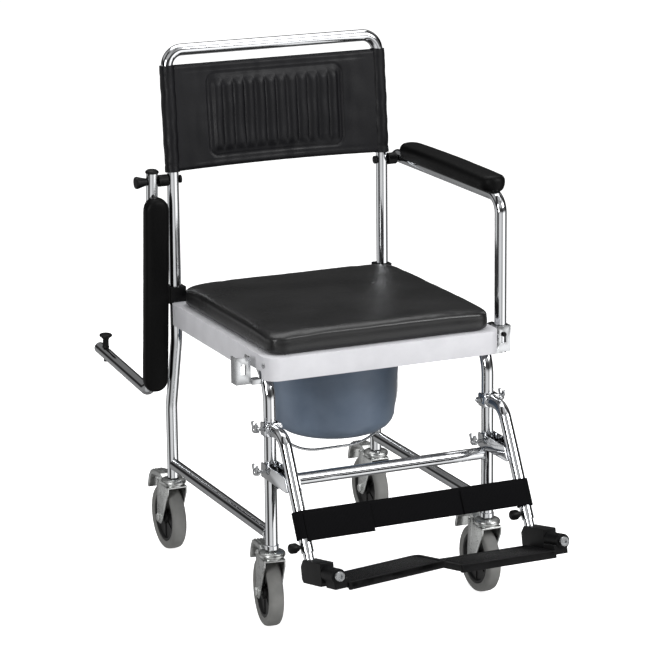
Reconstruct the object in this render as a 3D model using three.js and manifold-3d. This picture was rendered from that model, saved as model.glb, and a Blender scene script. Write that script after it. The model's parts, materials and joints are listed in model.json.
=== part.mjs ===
// A wheeled commode chair: a chromed tube frame on four braked castors, a white
// seat with a lift-off cushion, a pan that slides out behind, a sling back, two
// drop-down arms and two footrests joined by a calf strap.
//
// Millimetres. +X is the sitter's left, the chair faces -Y and +Z is up. The
// floor is z = 0, and the model is centred on its own box in X and Y at the end.
// Until then, x = 0 is the mid-plane and y = 0 is the axis of the front legs.

import * as THREE from 'three';
import { mergeVertices } from 'three/addons/utils/BufferGeometryUtils.js';
import loadManifold from 'manifold-3d';

const library = await loadManifold();
library.setup();
const { Manifold, Mesh: SolidMesh } = library;

// ---------------------------------------------------------------- dimensions

const GAP = 0.4;                      // air between touching pieces
const TUBE_R = 11;                    // frame tube, 22 mm
const BORE_R = 9.4;                   // its inside
const SIDES = 12;                     // facets round a tube

const HALF_TRACK = 211;               // frame tubes, out from the mid-plane
const WHEEL_BASE = 476;               // front to rear castor stems
const LEG_FOOT_Z = 147.5;             // open lower end of each leg

const SEAT_RAIL_Z = 483;
const FRONT_BEND_R = 70;              // front leg into seat rail
const LOWER_RAIL_Z = 174;
const FRONT_CROSS_Z = 269;
const UPRIGHT_Y = 441;                // the uprights stand ahead of the rear legs
const RECLINE_Z = 740;                // the uprights lean back above this
const RECLINE = THREE.MathUtils.degToRad(5.2);
const HANDLE_Z = 962;
const HANDLE_BEND_R = 30;

const SEAT_TOP_Z = 499;
const SEAT_SKIRT = 41;
const SEAT_HALF_WIDTH = 225.4;
const SEAT_FRONT_Y = -28;
const SEAT_BACK_Y = 427;
const CUSHION_TOP_Z = 540;

const PAN_Y = 205;                    // centre of the pan and the seat opening
const PAN_FLANGE_R = 145;
const BAIL_HALF_WIDTH = 128.5;
const BAIL_PIVOT_Z = 451;

const ARM_X = 252;
const ARM_PIVOT_Z = 727;
const ARM_LENGTH = 411;               // pivot to post
const POST_LENGTH = 283;
const PLUNGER_DROP = 248;             // plunger below the arm's axis
const ARM_LOWERED = THREE.MathUtils.degToRad(94.5);

const HANGER_TOP_Z = 369;
const BRACKET_BOLT_Z = 292;
const HANGER_LEAN = THREE.MathUtils.degToRad(28.5);
const HANGER_END = new THREE.Vector3(0, -157.7, 190);
const PLATE_TILT = THREE.MathUtils.degToRad(12);
const PLATE_HINGE_DROP = -6.5;        // hinge axis below the slider's end
const PLATE_LIFT = { right: THREE.MathUtils.degToRad(4), left: 0 };
const STRAP_WIDTH = 48;
const STRAP_Z = 231;

const WHEEL_R = 62.5;
const WHEEL_TRAIL = 28;
const TYRE_WIDTH = 28;
const HUB_R = 46;

// ----------------------------------------------------------------- materials

const finish = (color, roughness, metalness = 0) =>
  new THREE.MeshStandardMaterial({ color, roughness, metalness });
const CHROME = finish(0xd4d6d9, 0.15, 1);
const ZINC = finish(0x9b9d9a, 0.4, 1);
const BLACK_VINYL = finish(0x202022, 0.45);
const BLACK_FOAM = finish(0x151516, 0.6);
const BLACK_PLASTIC = finish(0x1c1c1e, 0.5);
const WHITE_PLASTIC = finish(0xe4e4e8, 0.4);
const PAN_PLASTIC = finish(0x586472, 0.45);
const TYRE_GREY = finish(0x6e6e6c, 0.8);
const WEBBING = finish(0x111113, 0.9);
const STEEL = finish(0xa5a7aa, 0.35, 1);

// ------------------------------------------------------------- solid helpers

// Turns a closed three.js geometry into a solid that can be joined and cut.
function solid(geometry) {
  geometry.deleteAttribute('normal');
  geometry.deleteAttribute('uv');
  const merged = mergeVertices(geometry, 1e-4);
  const triVerts = new Uint32Array(merged.index.array);
  const vertProperties = merged.attributes.position.array;
  const build = () => new Manifold(new SolidMesh({ numProp: 3, vertProperties, triVerts }));
  const body = build();
  if (body.volume() > 0) return body;
  for (let i = 0; i < triVerts.length; i += 3) {
    [triVerts[i], triVerts[i + 1]] = [triVerts[i + 1], triVerts[i]];
  }
  return build();
}

const join = (...bodies) => bodies.reduce((all, body) => all.add(body));
const cut = (body, ...tools) => tools.reduce((left, tool) => left.subtract(tool), body);

function mesh(name, material, body) {
  const { vertProperties, triVerts } = body.getMesh();
  const geometry = new THREE.BufferGeometry();
  geometry.setAttribute('position', new THREE.BufferAttribute(vertProperties, 3));
  geometry.setIndex(new THREE.BufferAttribute(triVerts, 1));
  geometry.computeVertexNormals();
  const piece = new THREE.Mesh(geometry, material);
  piece.name = name;
  return piece;
}

// A box given by its low and high corners.
function block([x0, y0, z0], [x1, y1, z1]) {
  const geometry = new THREE.BoxGeometry(x1 - x0, y1 - y0, z1 - z0);
  geometry.translate((x0 + x1) / 2, (y0 + y1) / 2, (z0 + z1) / 2);
  return solid(geometry);
}

// A round bar from one point to another.
function rod(from, to, radius, sides = SIDES) {
  const start = new THREE.Vector3(...from);
  const run = new THREE.Vector3(...to).sub(start);
  const geometry = new THREE.CylinderGeometry(radius, radius, run.length(), sides);
  geometry.rotateX(Math.PI / 2);
  const aim = new THREE.Quaternion().setFromUnitVectors(
    new THREE.Vector3(0, 0, 1), run.clone().normalize());
  geometry.applyQuaternion(aim);
  geometry.translate(...start.addScaledVector(run, 0.5).toArray());
  return solid(geometry);
}

// A solid of revolution about Z, from [radius, height] pairs that start and end
// on the axis, or close on themselves.
function turned(profile, segments) {
  const points = profile.map(([r, z]) => new THREE.Vector2(r, z));
  const geometry = new THREE.LatheGeometry(points, segments);
  geometry.rotateX(Math.PI / 2);
  return solid(geometry);
}

function outline(points) {
  return new THREE.Shape(points.map(([u, v]) => new THREE.Vector2(u, v)));
}

// A flat shape in XY, raised along +Z from the given height.
function raised(shape, z, height, bevel = 0, curveSegments = 5) {
  const geometry = new THREE.ExtrudeGeometry(shape, {
    depth: height - 2 * bevel,
    bevelEnabled: bevel > 0,
    bevelThickness: bevel,
    bevelSize: bevel,
    bevelOffset: -bevel,
    bevelSegments: 2,
    curveSegments,
  });
  geometry.translate(0, 0, z + bevel);
  return solid(geometry);
}

// A side-view outline of [y, z] pairs, given thickness between two x values.
function sideProfile(points, x0, x1) {
  const geometry = new THREE.ExtrudeGeometry(outline(points), { depth: x1 - x0, bevelEnabled: false });
  geometry.rotateX(Math.PI / 2).rotateZ(Math.PI / 2);
  geometry.translate(x0, 0, 0);
  return solid(geometry);
}

function roundedRectangle(x0, x1, y0, y1, frontR, backR) {
  const shape = new THREE.Shape();
  shape.moveTo(x0 + frontR, y0);
  shape.lineTo(x1 - frontR, y0);
  shape.absarc(x1 - frontR, y0 + frontR, frontR, -Math.PI / 2, 0);
  shape.lineTo(x1, y1 - backR);
  shape.absarc(x1 - backR, y1 - backR, backR, 0, Math.PI / 2);
  shape.lineTo(x0 + backR, y1);
  shape.absarc(x0 + backR, y1 - backR, backR, Math.PI / 2, Math.PI);
  shape.lineTo(x0, y0 + frontR);
  shape.absarc(x0 + frontR, y0 + frontR, frontR, Math.PI, 1.5 * Math.PI);
  return shape;
}

// A centreline of straight runs with an arc at each inner corner. Each corner is
// [x, y, z, bend radius]; the two ends need no radius.
class Centreline extends THREE.Curve {
  constructor(corners, arcStep = Math.PI / 8) {
    super();
    const at = corners.map(([x, y, z]) => new THREE.Vector3(x, y, z));
    this.points = [at[0]];
    for (let i = 1; i < at.length - 1; i += 1) {
      const before = at[i - 1].clone().sub(at[i]).normalize();
      const after = at[i + 1].clone().sub(at[i]).normalize();
      const turn = Math.PI - before.angleTo(after);
      const radius = corners[i][3];
      const start = at[i].clone().addScaledVector(before, radius * Math.tan(turn / 2));
      const inward = before.clone().add(after).normalize();
      const centre = at[i].clone().addScaledVector(inward, radius / Math.cos(turn / 2));
      const spoke = start.clone().sub(centre);
      const axis = after.clone().cross(before).normalize();
      const steps = Math.max(1, Math.ceil(turn / arcStep));
      for (let k = 0; k <= steps; k += 1) {
        const arm = spoke.clone().applyAxisAngle(axis, (turn * k) / steps);
        this.points.push(centre.clone().add(arm));
      }
    }
    this.points.push(at[at.length - 1]);
  }

  getPointAt(u) {
    const place = u * (this.points.length - 1);
    const i = Math.min(Math.floor(place + 1e-6), this.points.length - 2);
    return this.points[i].clone().lerp(this.points[i + 1], place - i);
  }

  getTangentAt(u) {
    const last = this.points.length - 1;
    const i = Math.round(u * last);
    const back = this.points[Math.max(i - 1, 0)];
    const here = this.points[i];
    const ahead = this.points[Math.min(i + 1, last)];
    const tangent = new THREE.Vector3();
    if (i > 0) tangent.add(here.clone().sub(back).normalize());
    if (i < last) tangent.add(ahead.clone().sub(here).normalize());
    return tangent.normalize();
  }
}

function barAlong(corners, radius, sides = SIDES) {
  const path = new Centreline(corners);
  const ring = Array.from({ length: sides }, (_, i) => {
    const angle = (2 * Math.PI * (i + 0.5)) / sides;
    return [radius * Math.cos(angle), radius * Math.sin(angle)];
  });
  return solid(new THREE.ExtrudeGeometry(outline(ring), {
    steps: path.points.length - 1, extrudePath: path, bevelEnabled: false,
  }));
}

// The space inside a tube, run out past both of its ends.
function boreAlong(corners, radius = BORE_R) {
  const stretched = corners.map((corner) => [...corner]);
  const push = (end, neighbour) => {
    const away = new THREE.Vector3(...end.slice(0, 3)).sub(new THREE.Vector3(...neighbour.slice(0, 3)));
    away.setLength(2);
    end[0] += away.x;
    end[1] += away.y;
    end[2] += away.z;
  };
  push(stretched[0], stretched[1]);
  push(stretched[stretched.length - 1], stretched[stretched.length - 2]);
  return barAlong(stretched, radius, SIDES - 2);
}

const tubeAlong = (corners) => cut(barAlong(corners, TUBE_R), boreAlong(corners));

function group(...children) {
  const holder = new THREE.Group();
  holder.add(...children);
  return holder;
}

const sides = [['right', -1], ['left', 1]];

// --------------------------------------------------------------------- frame

// One bent tube makes both rear legs, both uprights and the push handle.
function rearTubeCorners() {
  const rise = HANDLE_Z - RECLINE_Z;
  const half = (x) => [
    [x, WHEEL_BASE, LEG_FOOT_Z],
    [x, WHEEL_BASE, 290, 80],
    [x, UPRIGHT_Y, 428, 80],
    [x, UPRIGHT_Y, RECLINE_Z, 120],
    [x, UPRIGHT_Y + rise * Math.tan(RECLINE), HANDLE_Z, HANDLE_BEND_R],
  ];
  return [...half(-HALF_TRACK), ...half(HALF_TRACK).reverse()];
}

const REAR_CROSS = [[1 - HALF_TRACK, UPRIGHT_Y, 481], [HALF_TRACK - 1, UPRIGHT_Y, 481]];

function rearFrame() {
  const corners = rearTubeCorners();
  const boltHoles = rod([-240, UPRIGHT_Y, ARM_PIVOT_Z], [240, UPRIGHT_Y, ARM_PIVOT_Z], 4.5, 8);
  const frame = cut(
    join(barAlong(corners, TUBE_R), barAlong(REAR_CROSS, TUBE_R)),
    boreAlong(corners),
    barAlong(REAR_CROSS, BORE_R, SIDES - 2),
    boltHoles,
  );
  return mesh('rear_frame', CHROME, frame);
}

const rearFrameSpace = () => join(
  barAlong(rearTubeCorners(), TUBE_R + GAP), barAlong(REAR_CROSS, TUBE_R + GAP));

// Front leg, seat rail and lower rail, welded into one side.
function sideFrameCorners(x) {
  return [[x, 0, LEG_FOOT_Z], [x, 0, SEAT_RAIL_Z, FRONT_BEND_R], [x, UPRIGHT_Y, SEAT_RAIL_Z]];
}

function sideFrame(name, side) {
  const x = side * HALF_TRACK;
  const leg = sideFrameCorners(x);
  const rail = [[x, 1, LOWER_RAIL_Z], [x, WHEEL_BASE, LOWER_RAIL_Z]];
  const boltHole = (z) => rod([x - 20, 0, z], [x + 20, 0, z], 3.6, 8);
  const frame = cut(
    join(barAlong(leg, TUBE_R), barAlong(rail, TUBE_R)),
    boreAlong(leg),
    barAlong(rail, BORE_R, SIDES - 2),
    boltHole(HANGER_TOP_Z),
    boltHole(BRACKET_BOLT_Z),
    rearFrameSpace(),
  );
  return mesh(`${name}_side_frame`, CHROME, frame);
}

// A cross tube between the two sides, its ends shaped to fit round them.
function crossTube(name, y, z) {
  const line = [[-HALF_TRACK, y, z], [HALF_TRACK, y, z]];
  const fitted = sides.reduce(
    (tube, [, side]) => tube.subtract(barAlong(sideFrameCorners(side * HALF_TRACK), TUBE_R + GAP)),
    tubeAlong(line));
  const between = fitted.decompose().sort((a, b) => b.volume() - a.volume())[0];
  return mesh(name, CHROME, between);
}

// The channel that each arm's post swings into. Its front wall has a slot for
// the plunger, and it is open behind and below.
function armCatch(name, side) {
  const y = UPRIGHT_Y - ARM_LENGTH;
  const x = side * ARM_X;
  const [low, high] = [447, 495];
  const inside = TUBE_R + 0.8;
  const outside = inside + 2;
  const shell = block([x - outside, y - outside, low], [x + outside, y + 9, high]);
  const space = block([x - inside, y - inside, low - 1], [x + inside, y + 10, high + 1]);
  const plungerZ = ARM_PIVOT_Z - PLUNGER_DROP;
  const slot = join(
    rod([x, y - 20, plungerZ], [x, y, plungerZ], 5, 8),
    block([x - 4.6, y - 20, plungerZ - 15], [x + 4.6, y, plungerZ]),
  );
  const inner = x - side * (outside - 0.5);
  const leg = side * (HALF_TRACK + TUBE_R + GAP);
  const tab = block([Math.min(inner, leg), y - 22, low], [Math.max(inner, leg), y - 5, low + 9]);
  return mesh(`${name}_arm_catch`, CHROME, join(cut(shell, space, slot), tab));
}

// ---------------------------------------------------------------- seat & pan

function commodeSeat() {
  const outer = roundedRectangle(-SEAT_HALF_WIDTH, SEAT_HALF_WIDTH, SEAT_FRONT_Y, SEAT_BACK_Y, 25, 8);
  const wall = 3;
  const pocket = roundedRectangle(
    wall - SEAT_HALF_WIDTH, SEAT_HALF_WIDTH - wall, SEAT_FRONT_Y + wall, SEAT_BACK_Y + 20, 22, 1);
  const opening = new THREE.Shape();
  opening.absellipse(0, PAN_Y - 5, 100, 120, 0, 2 * Math.PI);
  const floor = SEAT_TOP_Z - SEAT_SKIRT;
  // The skirt is notched above each arm catch's tab.
  const notches = block([-SEAT_HALF_WIDTH - 5, 0, floor - 1], [SEAT_HALF_WIDTH + 5, 92, floor + 13]);
  return mesh('commode_seat', WHITE_PLASTIC, cut(
    raised(outer, floor, SEAT_SKIRT),
    notches,
    raised(pocket, floor - 1, SEAT_SKIRT + 1 - wall),
    raised(opening, floor, SEAT_SKIRT + 10, 0, 10),
  ));
}

function seatCushion() {
  const plan = roundedRectangle(-220, 220, -24, 417, 34, 30);
  const base = SEAT_TOP_Z + GAP;
  return mesh('seat_cushion', BLACK_VINYL, raised(plan, base, CUSHION_TOP_Z - base, 9));
}

// Black block round each upright that holds the back of the seat.
function seatClamp(name, side) {
  const x = side * HALF_TRACK;
  const reach = [x - side * 16, x + side * 14.4].sort((a, b) => a - b);
  const body = block([reach[0], SEAT_BACK_Y + GAP, 494.6], [reach[1], UPRIGHT_Y + 16, 527]);
  const hole = rod([x, UPRIGHT_Y, 480], [x, UPRIGHT_Y, 540], TUBE_R + 0.6, SIDES);
  return mesh(`${name}_seat_clamp`, BLACK_PLASTIC, cut(body, hole));
}

// Two lipped rails under the seat, joined by a strip at each end.
function panCarrier() {
  const under = SEAT_TOP_Z - 3 - GAP;
  const [front, back] = [58, 425];
  const rail = (side) => {
    const web = [side * 147, side * 150].sort((a, b) => a - b);
    const lip = [side * 133.5, side * 150].sort((a, b) => a - b);
    return join(
      block([web[0], front, 456], [web[1], back, under]),
      block([lip[0], front, 456], [lip[1], back, 459]),
    );
  };
  const strip = (y) => block([-150, y, under - 3], [150, y + 18, under]);
  return mesh('pan_carrier', WHITE_PLASTIC, join(rail(-1), rail(1), strip(front), strip(back - 18)));
}

function pan() {
  const body = turned([
    [0, 290], [80, 290], [101, 298], [112, 316], [123.5, 452], [125, 459.6],
    [PAN_FLANGE_R, 460], [PAN_FLANGE_R, 464], [120.5, 464], [109, 317], [99, 301], [79, 293], [0, 293],
  ], 22);
  return mesh('pan', PAN_PLASTIC, body.translate([0, PAN_Y, 0]));
}

// The pan's carrying wire, hanging down round it.
function panBail() {
  const w = BAIL_HALF_WIDTH;
  const low = BAIL_PIVOT_Z - 200;
  return mesh('pan_bail', STEEL, barAlong([
    [-w, PAN_Y, BAIL_PIVOT_Z],
    [-w, PAN_Y, low, 100],
    [w, PAN_Y, low, 100],
    [w, PAN_Y, BAIL_PIVOT_Z],
  ], 2.5, 8));
}

// ----------------------------------------------------------------------- back

// The back sling: a panel with a sleeve round each upright.
function backSling() {
  const height = 191;
  const sleeve = (side, r) => rod([side * HALF_TRACK, 0, -1], [side * HALF_TRACK, 0, height + 2], r, SIDES);
  const outer = (side) => rod([side * HALF_TRACK, 0, 1], [side * HALF_TRACK, 0, height], 14.8, SIDES);
  const panel = block([-HALF_TRACK, -8, 1], [HALF_TRACK, 4, height]);
  const sling = mesh('backrest_sling', BLACK_VINYL, cut(
    join(panel, outer(-1), outer(1)),
    sleeve(-1, TUBE_R + 0.7),
    sleeve(1, TUBE_R + 0.7),
  ));
  const holder = group(sling);
  holder.position.set(0, UPRIGHT_Y, RECLINE_Z);
  holder.rotation.x = -RECLINE;
  return holder;
}

// ----------------------------------------------------------------------- arms

// Built raised, about the pivot: the arm runs forward and its post hangs down.
function arm(name, side, lowered) {
  const line = [[0, 16, 0], [0, -ARM_LENGTH, 0, 30], [0, -ARM_LENGTH, -POST_LENGTH]];
  const tube = cut(
    tubeAlong(line),
    rod([-20, 0, 0], [20, 0, 0], 4.6, 8),
    rod([0, -ARM_LENGTH - 20, -PLUNGER_DROP], [0, -ARM_LENGTH + 20, -PLUNGER_DROP], 4.6, 8),
  );

  const padPlan = roundedRectangle(-26, 26, -400, -25, 23, 23);
  const pad = cut(raised(padPlan, 7, 36, 8, 4), rod([0, 30, 0], [0, -ARM_LENGTH - 30, 0], TUBE_R + GAP));

  const cap = turned([[0, 0], [8.6, 0], [8.6, 10.3], [12.5, 10.3], [12.5, 13], [8, 16], [0, 16.5]], 12);
  const capPiece = mesh(`${name}_arm_end_cap`, BLACK_PLASTIC, cap);
  capPiece.rotation.x = -Math.PI / 2;
  capPiece.position.y = 6;

  // The plunger stands across the post: a pin, a collar and a mushroom head.
  const plunger = turned(
    [[0, -17], [4, -17], [4, 11.4], [7, 11.4], [6, 30], [12.5, 35], [12, 38], [0, 39]], 12);
  const pin = mesh(`${name}_plunger`, BLACK_PLASTIC, plunger);
  pin.rotation.x = -Math.PI / 2;
  pin.position.set(0, -ARM_LENGTH, -PLUNGER_DROP);

  const holder = group(
    mesh(`${name}_arm_tube`, CHROME, tube),
    mesh(`${name}_arm_pad`, BLACK_FOAM, pad),
    capPiece,
    pin,
  );
  holder.position.set(side * ARM_X, UPRIGHT_Y, ARM_PIVOT_Z);
  holder.rotation.x = lowered ? ARM_LOWERED : 0;
  return holder;
}

// The bolt through the upright and the arm, with its clamping knob outside.
function armPivot(name, side) {
  const bolt = join(
    turned([[0, 0], [7.5, 0], [7.5, 4.4], [4, 4.4], [4, 70], [0, 70]], 12),
    turned([[0, 68], [7, 68], [11.5, 86], [9, 89.5], [0, 90]], 12),
  );
  const boltPiece = mesh(`${name}_arm_pivot_knob`, BLACK_PLASTIC, bolt);
  const spacer = turned([[4.6, 0], [11, 0], [11, 18], [4.6, 18], [4.6, 0]], SIDES);
  const spacerPiece = mesh(`${name}_arm_spacer`, BLACK_PLASTIC, spacer);
  boltPiece.position.z = HALF_TRACK - TUBE_R - 4.9;
  spacerPiece.position.z = HALF_TRACK + TUBE_R + GAP;
  const holder = group(boltPiece, spacerPiece);
  holder.position.set(0, UPRIGHT_Y, ARM_PIVOT_Z);
  holder.rotation.y = side * Math.PI / 2;
  return holder;
}

// ------------------------------------------------------------------- footrest

// How far forward the leaning part of a hanger is at a height.
const hangerY = (z) => HANGER_END.y + (z - HANGER_END.z) * Math.tan(HANGER_LEAN);

// The bent tube with a saddle on the leg above and a channel to it below.
function hanger(name, side) {
  const line = [
    [0, -14, HANGER_TOP_Z],
    [0, hangerY(HANGER_TOP_Z), HANGER_TOP_Z, 35],
    [0, HANGER_END.y, HANGER_END.z],
  ];
  const [low, high] = [BRACKET_BOLT_Z - 11, BRACKET_BOLT_Z + 15];
  const front = hangerY((low + high) / 2);
  const body = join(
    block([-14.5, -16, HANGER_TOP_Z - 12], [14.5, 9, HANGER_TOP_Z + 12]),
    block([-14.5, front, low], [-11.7, 9, high]),
    block([11.7, front, low], [14.5, 9, high]),
    block([-14.5, front, low], [14.5, -13, low + 2.5]),
    barAlong(line, TUBE_R),
  );
  const legSpace = join(
    rod([0, 0, low - 5], [0, 0, HANGER_TOP_Z + 40], TUBE_R + 0.7),
    block([-11.7, 0, low - 5], [11.7, 20, HANGER_TOP_Z + 40]),
  );
  const hole = (z) => rod([-20, 0, z], [20, 0, z], 3.6, 8);
  const screw = knobPlace();
  const piece = cut(
    body, legSpace, boreAlong(line), hole(HANGER_TOP_Z), hole(BRACKET_BOLT_Z),
    rod([-20, screw.y, screw.z], [0, screw.y, screw.z], 3.6, 8),
  );
  const holder = group(mesh(`${name}_hanger`, CHROME, piece));
  holder.position.x = side * HALF_TRACK;
  return holder;
}

// A wing screw through a leg. The wing is at +x, or at -x if turned round.
function wingScrew(name, side, z, turnedRound) {
  const bolt = join(
    rod([-23, 0, 0], [26, 0, 0], 3, 8),
    rod([-21, 0, 0], [-15 - GAP, 0, 0], 6, 6),
    rod([22, 0, 0], [32, 0, 0], 5.5, 8),
    sideProfile(
      [[-2, -5], [2, -5], [11, 9], [8, 14], [3, 12], [0, 6], [-3, 12], [-8, 14], [-11, 9]], 28, 31.5),
  );
  const piece = mesh(name, STEEL, bolt);
  piece.position.set(side * HALF_TRACK, 0, z);
  piece.rotation.y = turnedRound ? Math.PI : 0;
  return piece;
}

// Where the footrest's height screw meets the hanger, near its lower end.
function knobPlace() {
  const z = HANGER_END.z + 9;
  return { y: hangerY(z), z };
}

function heightKnob(name, side) {
  const screw = turned([[0, 9.5], [3, 9.5], [3, 14], [5, 14], [9, 20], [9, 30], [6, 33], [0, 33]], 12);
  const piece = mesh(`${name}_height_knob`, BLACK_PLASTIC, screw);
  const { y, z } = knobPlace();
  piece.position.set(side * HALF_TRACK, y, z);
  piece.rotation.y = -Math.PI / 2;
  return piece;
}

// The sliding tube, the pivot block on its end, the plate and its hinge pin.
function footrest(name, side) {
  const down = new THREE.Vector3(0, -Math.sin(HANGER_LEAN), -Math.cos(HANGER_LEAN));
  const top = HANGER_END.clone().addScaledVector(down, -62);
  const tip = HANGER_END.clone().addScaledVector(down, 24);
  const slider = cut(
    rod(top.toArray(), tip.toArray(), 8.8),
    rod(top.clone().addScaledVector(down, -2).toArray(), HANGER_END.toArray(), 7, SIDES - 2),
  );

  // From here on, y runs back along the tilted plate and z stands off it.
  const axisZ = PLATE_HINGE_DROP;
  const blockBody = sideProfile(
    [[14, -22], [14, 0], [2, 12], [-72, 12], [-72, -22], [-66, -28], [8, -28]], -12.5, 12.5);
  const blockPiece = cut(blockBody, rod([0, -50, axisZ], [0, -80, axisZ], 5.3, 10));

  const inward = -side;
  const across = (near, far, y0, y1, z0, z1) => {
    const [x0, x1] = [inward * near, inward * far].sort((a, b) => a - b);
    return block([x0, y0, z0], [x1, y1, z1]);
  };
  const plateTop = axisZ - 14;
  const corners = [[15, -121], [197, -121], [197, -14], [189, -6], [15, -6]];
  const plan = outline(corners.map(([u, v]) => [inward * u, v]));
  const plate = cut(
    join(
      raised(plan, plateTop - 8, 8),
      across(15, 197, -121, -114, plateTop - 13, plateTop),
      across(-10, 18, -117, -78, plateTop - 8, axisZ - 4),
      rod([0, -119, axisZ], [0, -73, axisZ], 13, 12),
    ),
    rod([0, -125, axisZ], [0, -70, axisZ], 5.3, 10),
  );
  const pin = join(
    rod([0, -121, axisZ], [0, -54, axisZ], 4.8, 10),
    rod([0, -126, axisZ], [0, -119 - GAP, axisZ], 8.5, 12),
  );

  const tilted = new THREE.Group();
  tilted.position.copy(tip).y += 0.5;
  tilted.rotation.x = -PLATE_TILT;
  tilted.updateMatrix();
  const socket = rod(
    tip.clone().addScaledVector(down, GAP).toArray(),
    tip.clone().addScaledVector(down, -40).toArray(), 9.3);
  const toBlock = tilted.matrix.clone().invert();
  const bored = cut(blockPiece, socket.transform(toBlock.elements));
  const hinge = new THREE.Group();
  hinge.position.z = axisZ;
  hinge.rotation.y = side * PLATE_LIFT[name];
  hinge.add(mesh(`${name}_footplate`, BLACK_PLASTIC, plate.translate([0, 0, -axisZ])));
  tilted.add(
    hinge,
    mesh(`${name}_pivot_block`, BLACK_PLASTIC, bored),
    mesh(`${name}_hinge_pin`, STEEL, pin),
  );
  const holder = group(mesh(`${name}_footrest_slider`, CHROME, slider), tilted);
  holder.position.x = side * HALF_TRACK;
  return holder;
}

// Webbing across both hangers: a loop round each and a strip in front.
function calfStrap() {
  const hole = (side) => rod(
    [side * HALF_TRACK, 0, -9], [side * HALF_TRACK, 0, STRAP_WIDTH + 1], TUBE_R + 0.7);
  const loop = (side) => rod([side * HALF_TRACK, 0, 0], [side * HALF_TRACK, 0, STRAP_WIDTH], 14.4, SIDES);
  const overlap = 125;
  const strip = block([-HALF_TRACK, -14, 0], [HALF_TRACK, -11.5, STRAP_WIDTH]);
  const lapped = (side) => block(
    [side > 0 ? HALF_TRACK - overlap : -HALF_TRACK, -11.6, side < 0 ? -6 : 0],
    [side > 0 ? HALF_TRACK : overlap - HALF_TRACK, -9, STRAP_WIDTH - 6]);
  const strap = mesh('calf_strap', WEBBING, cut(
    join(strip, loop(-1), loop(1), lapped(-1), lapped(1)), hole(-1), hole(1)));
  strap.position.z = -STRAP_WIDTH / 2;
  const holder = group(strap);
  holder.position.set(0, hangerY(STRAP_Z), STRAP_Z);
  holder.rotation.x = -HANGER_LEAN;
  return holder;
}

// -------------------------------------------------------------------- castors

function castor(name, x, y, heading) {
  const axle = [WHEEL_TRAIL, WHEEL_R];
  const leg = (x0, x1) => sideProfile([
    [-20, 133], [-20, 122], [axle[0] - 13, axle[1] - 3], [axle[0] - 5, axle[1] - 12],
    [axle[0] + 6, axle[1] - 11], [axle[0] + 12, axle[1] - 2], [37, 124], [37, 138], [24, 142], [18, 133],
  ], x0, x1);
  const fork = join(
    turned([
      [0, 129.5], [19, 129.5], [19, 133], [24, 136], [24, 142], [21, 145.4],
      [8.4, 145.4], [8.4, 184], [0, 184],
    ], 12),
    block([-20, -20, 129.5], [20, 20, 133]),
    leg(-20, -17),
    leg(17, 20),
    rod([-23, ...axle], [23, ...axle], 5.6, 8),
    rod([-21.5, 30, 135], [21.5, 30, 135], 2.8, 6),
  );

  const half = TYRE_WIDTH / 2;
  const facets = 24;
  const out = 1 / Math.cos(Math.PI / facets);
  const tyre = turned([
    [HUB_R + 0.9, -12], [WHEEL_R - 7, -half], [WHEEL_R * out, 7 - half],
    [WHEEL_R * out, half - 7], [WHEEL_R - 7, half], [HUB_R + 0.9, 12], [HUB_R + 0.9, -12],
  ], facets);
  const hub = turned([
    [6.4, -13], [13, -13], [15, -7], [40, -7], [HUB_R, -11], [HUB_R, 11], [40, 7], [15, 7],
    [13, 13], [6.4, 13], [6.4, -13],
  ], 16);
  const wheel = group(mesh(`${name}_tyre`, TYRE_GREY, tyre), mesh(`${name}_hub`, BLACK_PLASTIC, hub));
  // The lathe's facets meet the floor flat when turned half a facet.
  wheel.rotation.set(0, Math.PI / 2, 0);
  wheel.children.forEach((piece) => { piece.rotation.z = Math.PI / facets; });
  wheel.position.set(0, ...axle);

  const pedal = cut(
    sideProfile([
      [24, 131], [36, 129], [44, 137], [82, 133], [94, 122], [100, 101], [105, 101], [106, 106],
      [99, 126], [87, 140], [60, 145], [36, 146], [25, 140],
    ], -13, 13),
    rod([-20, 30, 135], [20, 30, 135], 3.4, 8),
  );

  const holder = group(mesh(`${name}_fork`, ZINC, fork), wheel, mesh(`${name}_brake_lever`, ZINC, pedal));
  holder.position.set(x, y, 0);
  holder.rotation.z = heading;
  return holder;
}

// ------------------------------------------------------------------- assembly

const chair = group(
  rearFrame(),
  crossTube('front_cross_tube', 0, FRONT_CROSS_Z),
  crossTube('front_seat_tube', 38, 475.5),
  commodeSeat(),
  seatCushion(),
  panCarrier(),
  pan(),
  panBail(),
  backSling(),
  calfStrap(),
);

for (const [name, side] of sides) {
  chair.add(
    sideFrame(name, side),
    armCatch(name, side),
    seatClamp(name, side),
    arm(name, side, name === 'right'),
    armPivot(name, side),
    hanger(name, side),
    wingScrew(`${name}_upper_wing_screw`, side, HANGER_TOP_Z, side < 0),
    wingScrew(`${name}_lower_wing_screw`, side, BRACKET_BOLT_Z, true),
    heightKnob(name, side),
    footrest(name, side),
    castor(`${name}_front_castor`, side * HALF_TRACK, 0, side < 0 ? THREE.MathUtils.degToRad(-8) : 0),
    castor(`${name}_rear_castor`, side * HALF_TRACK, WHEEL_BASE, 0),
  );
}

const size = new THREE.Box3().setFromObject(chair, true);
const centre = size.getCenter(new THREE.Vector3());
chair.position.set(-centre.x, -centre.y, 0);

export default chair;
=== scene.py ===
# %% [markdown]
# # A wheeled commode chair
# The chair is a chromed tube frame on four braked castors. It carries a white moulded seat with a
# lift-off cushion, a pan that slides out behind, a ribbed vinyl back, two drop-down arms and two
# footrests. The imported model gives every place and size, so each piece made here goes where its
# plain solid lies and takes over its looks.

# %% Load the frame
import json
import math

import bmesh
import bpy
from mathutils import Matrix, Vector, noise


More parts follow.
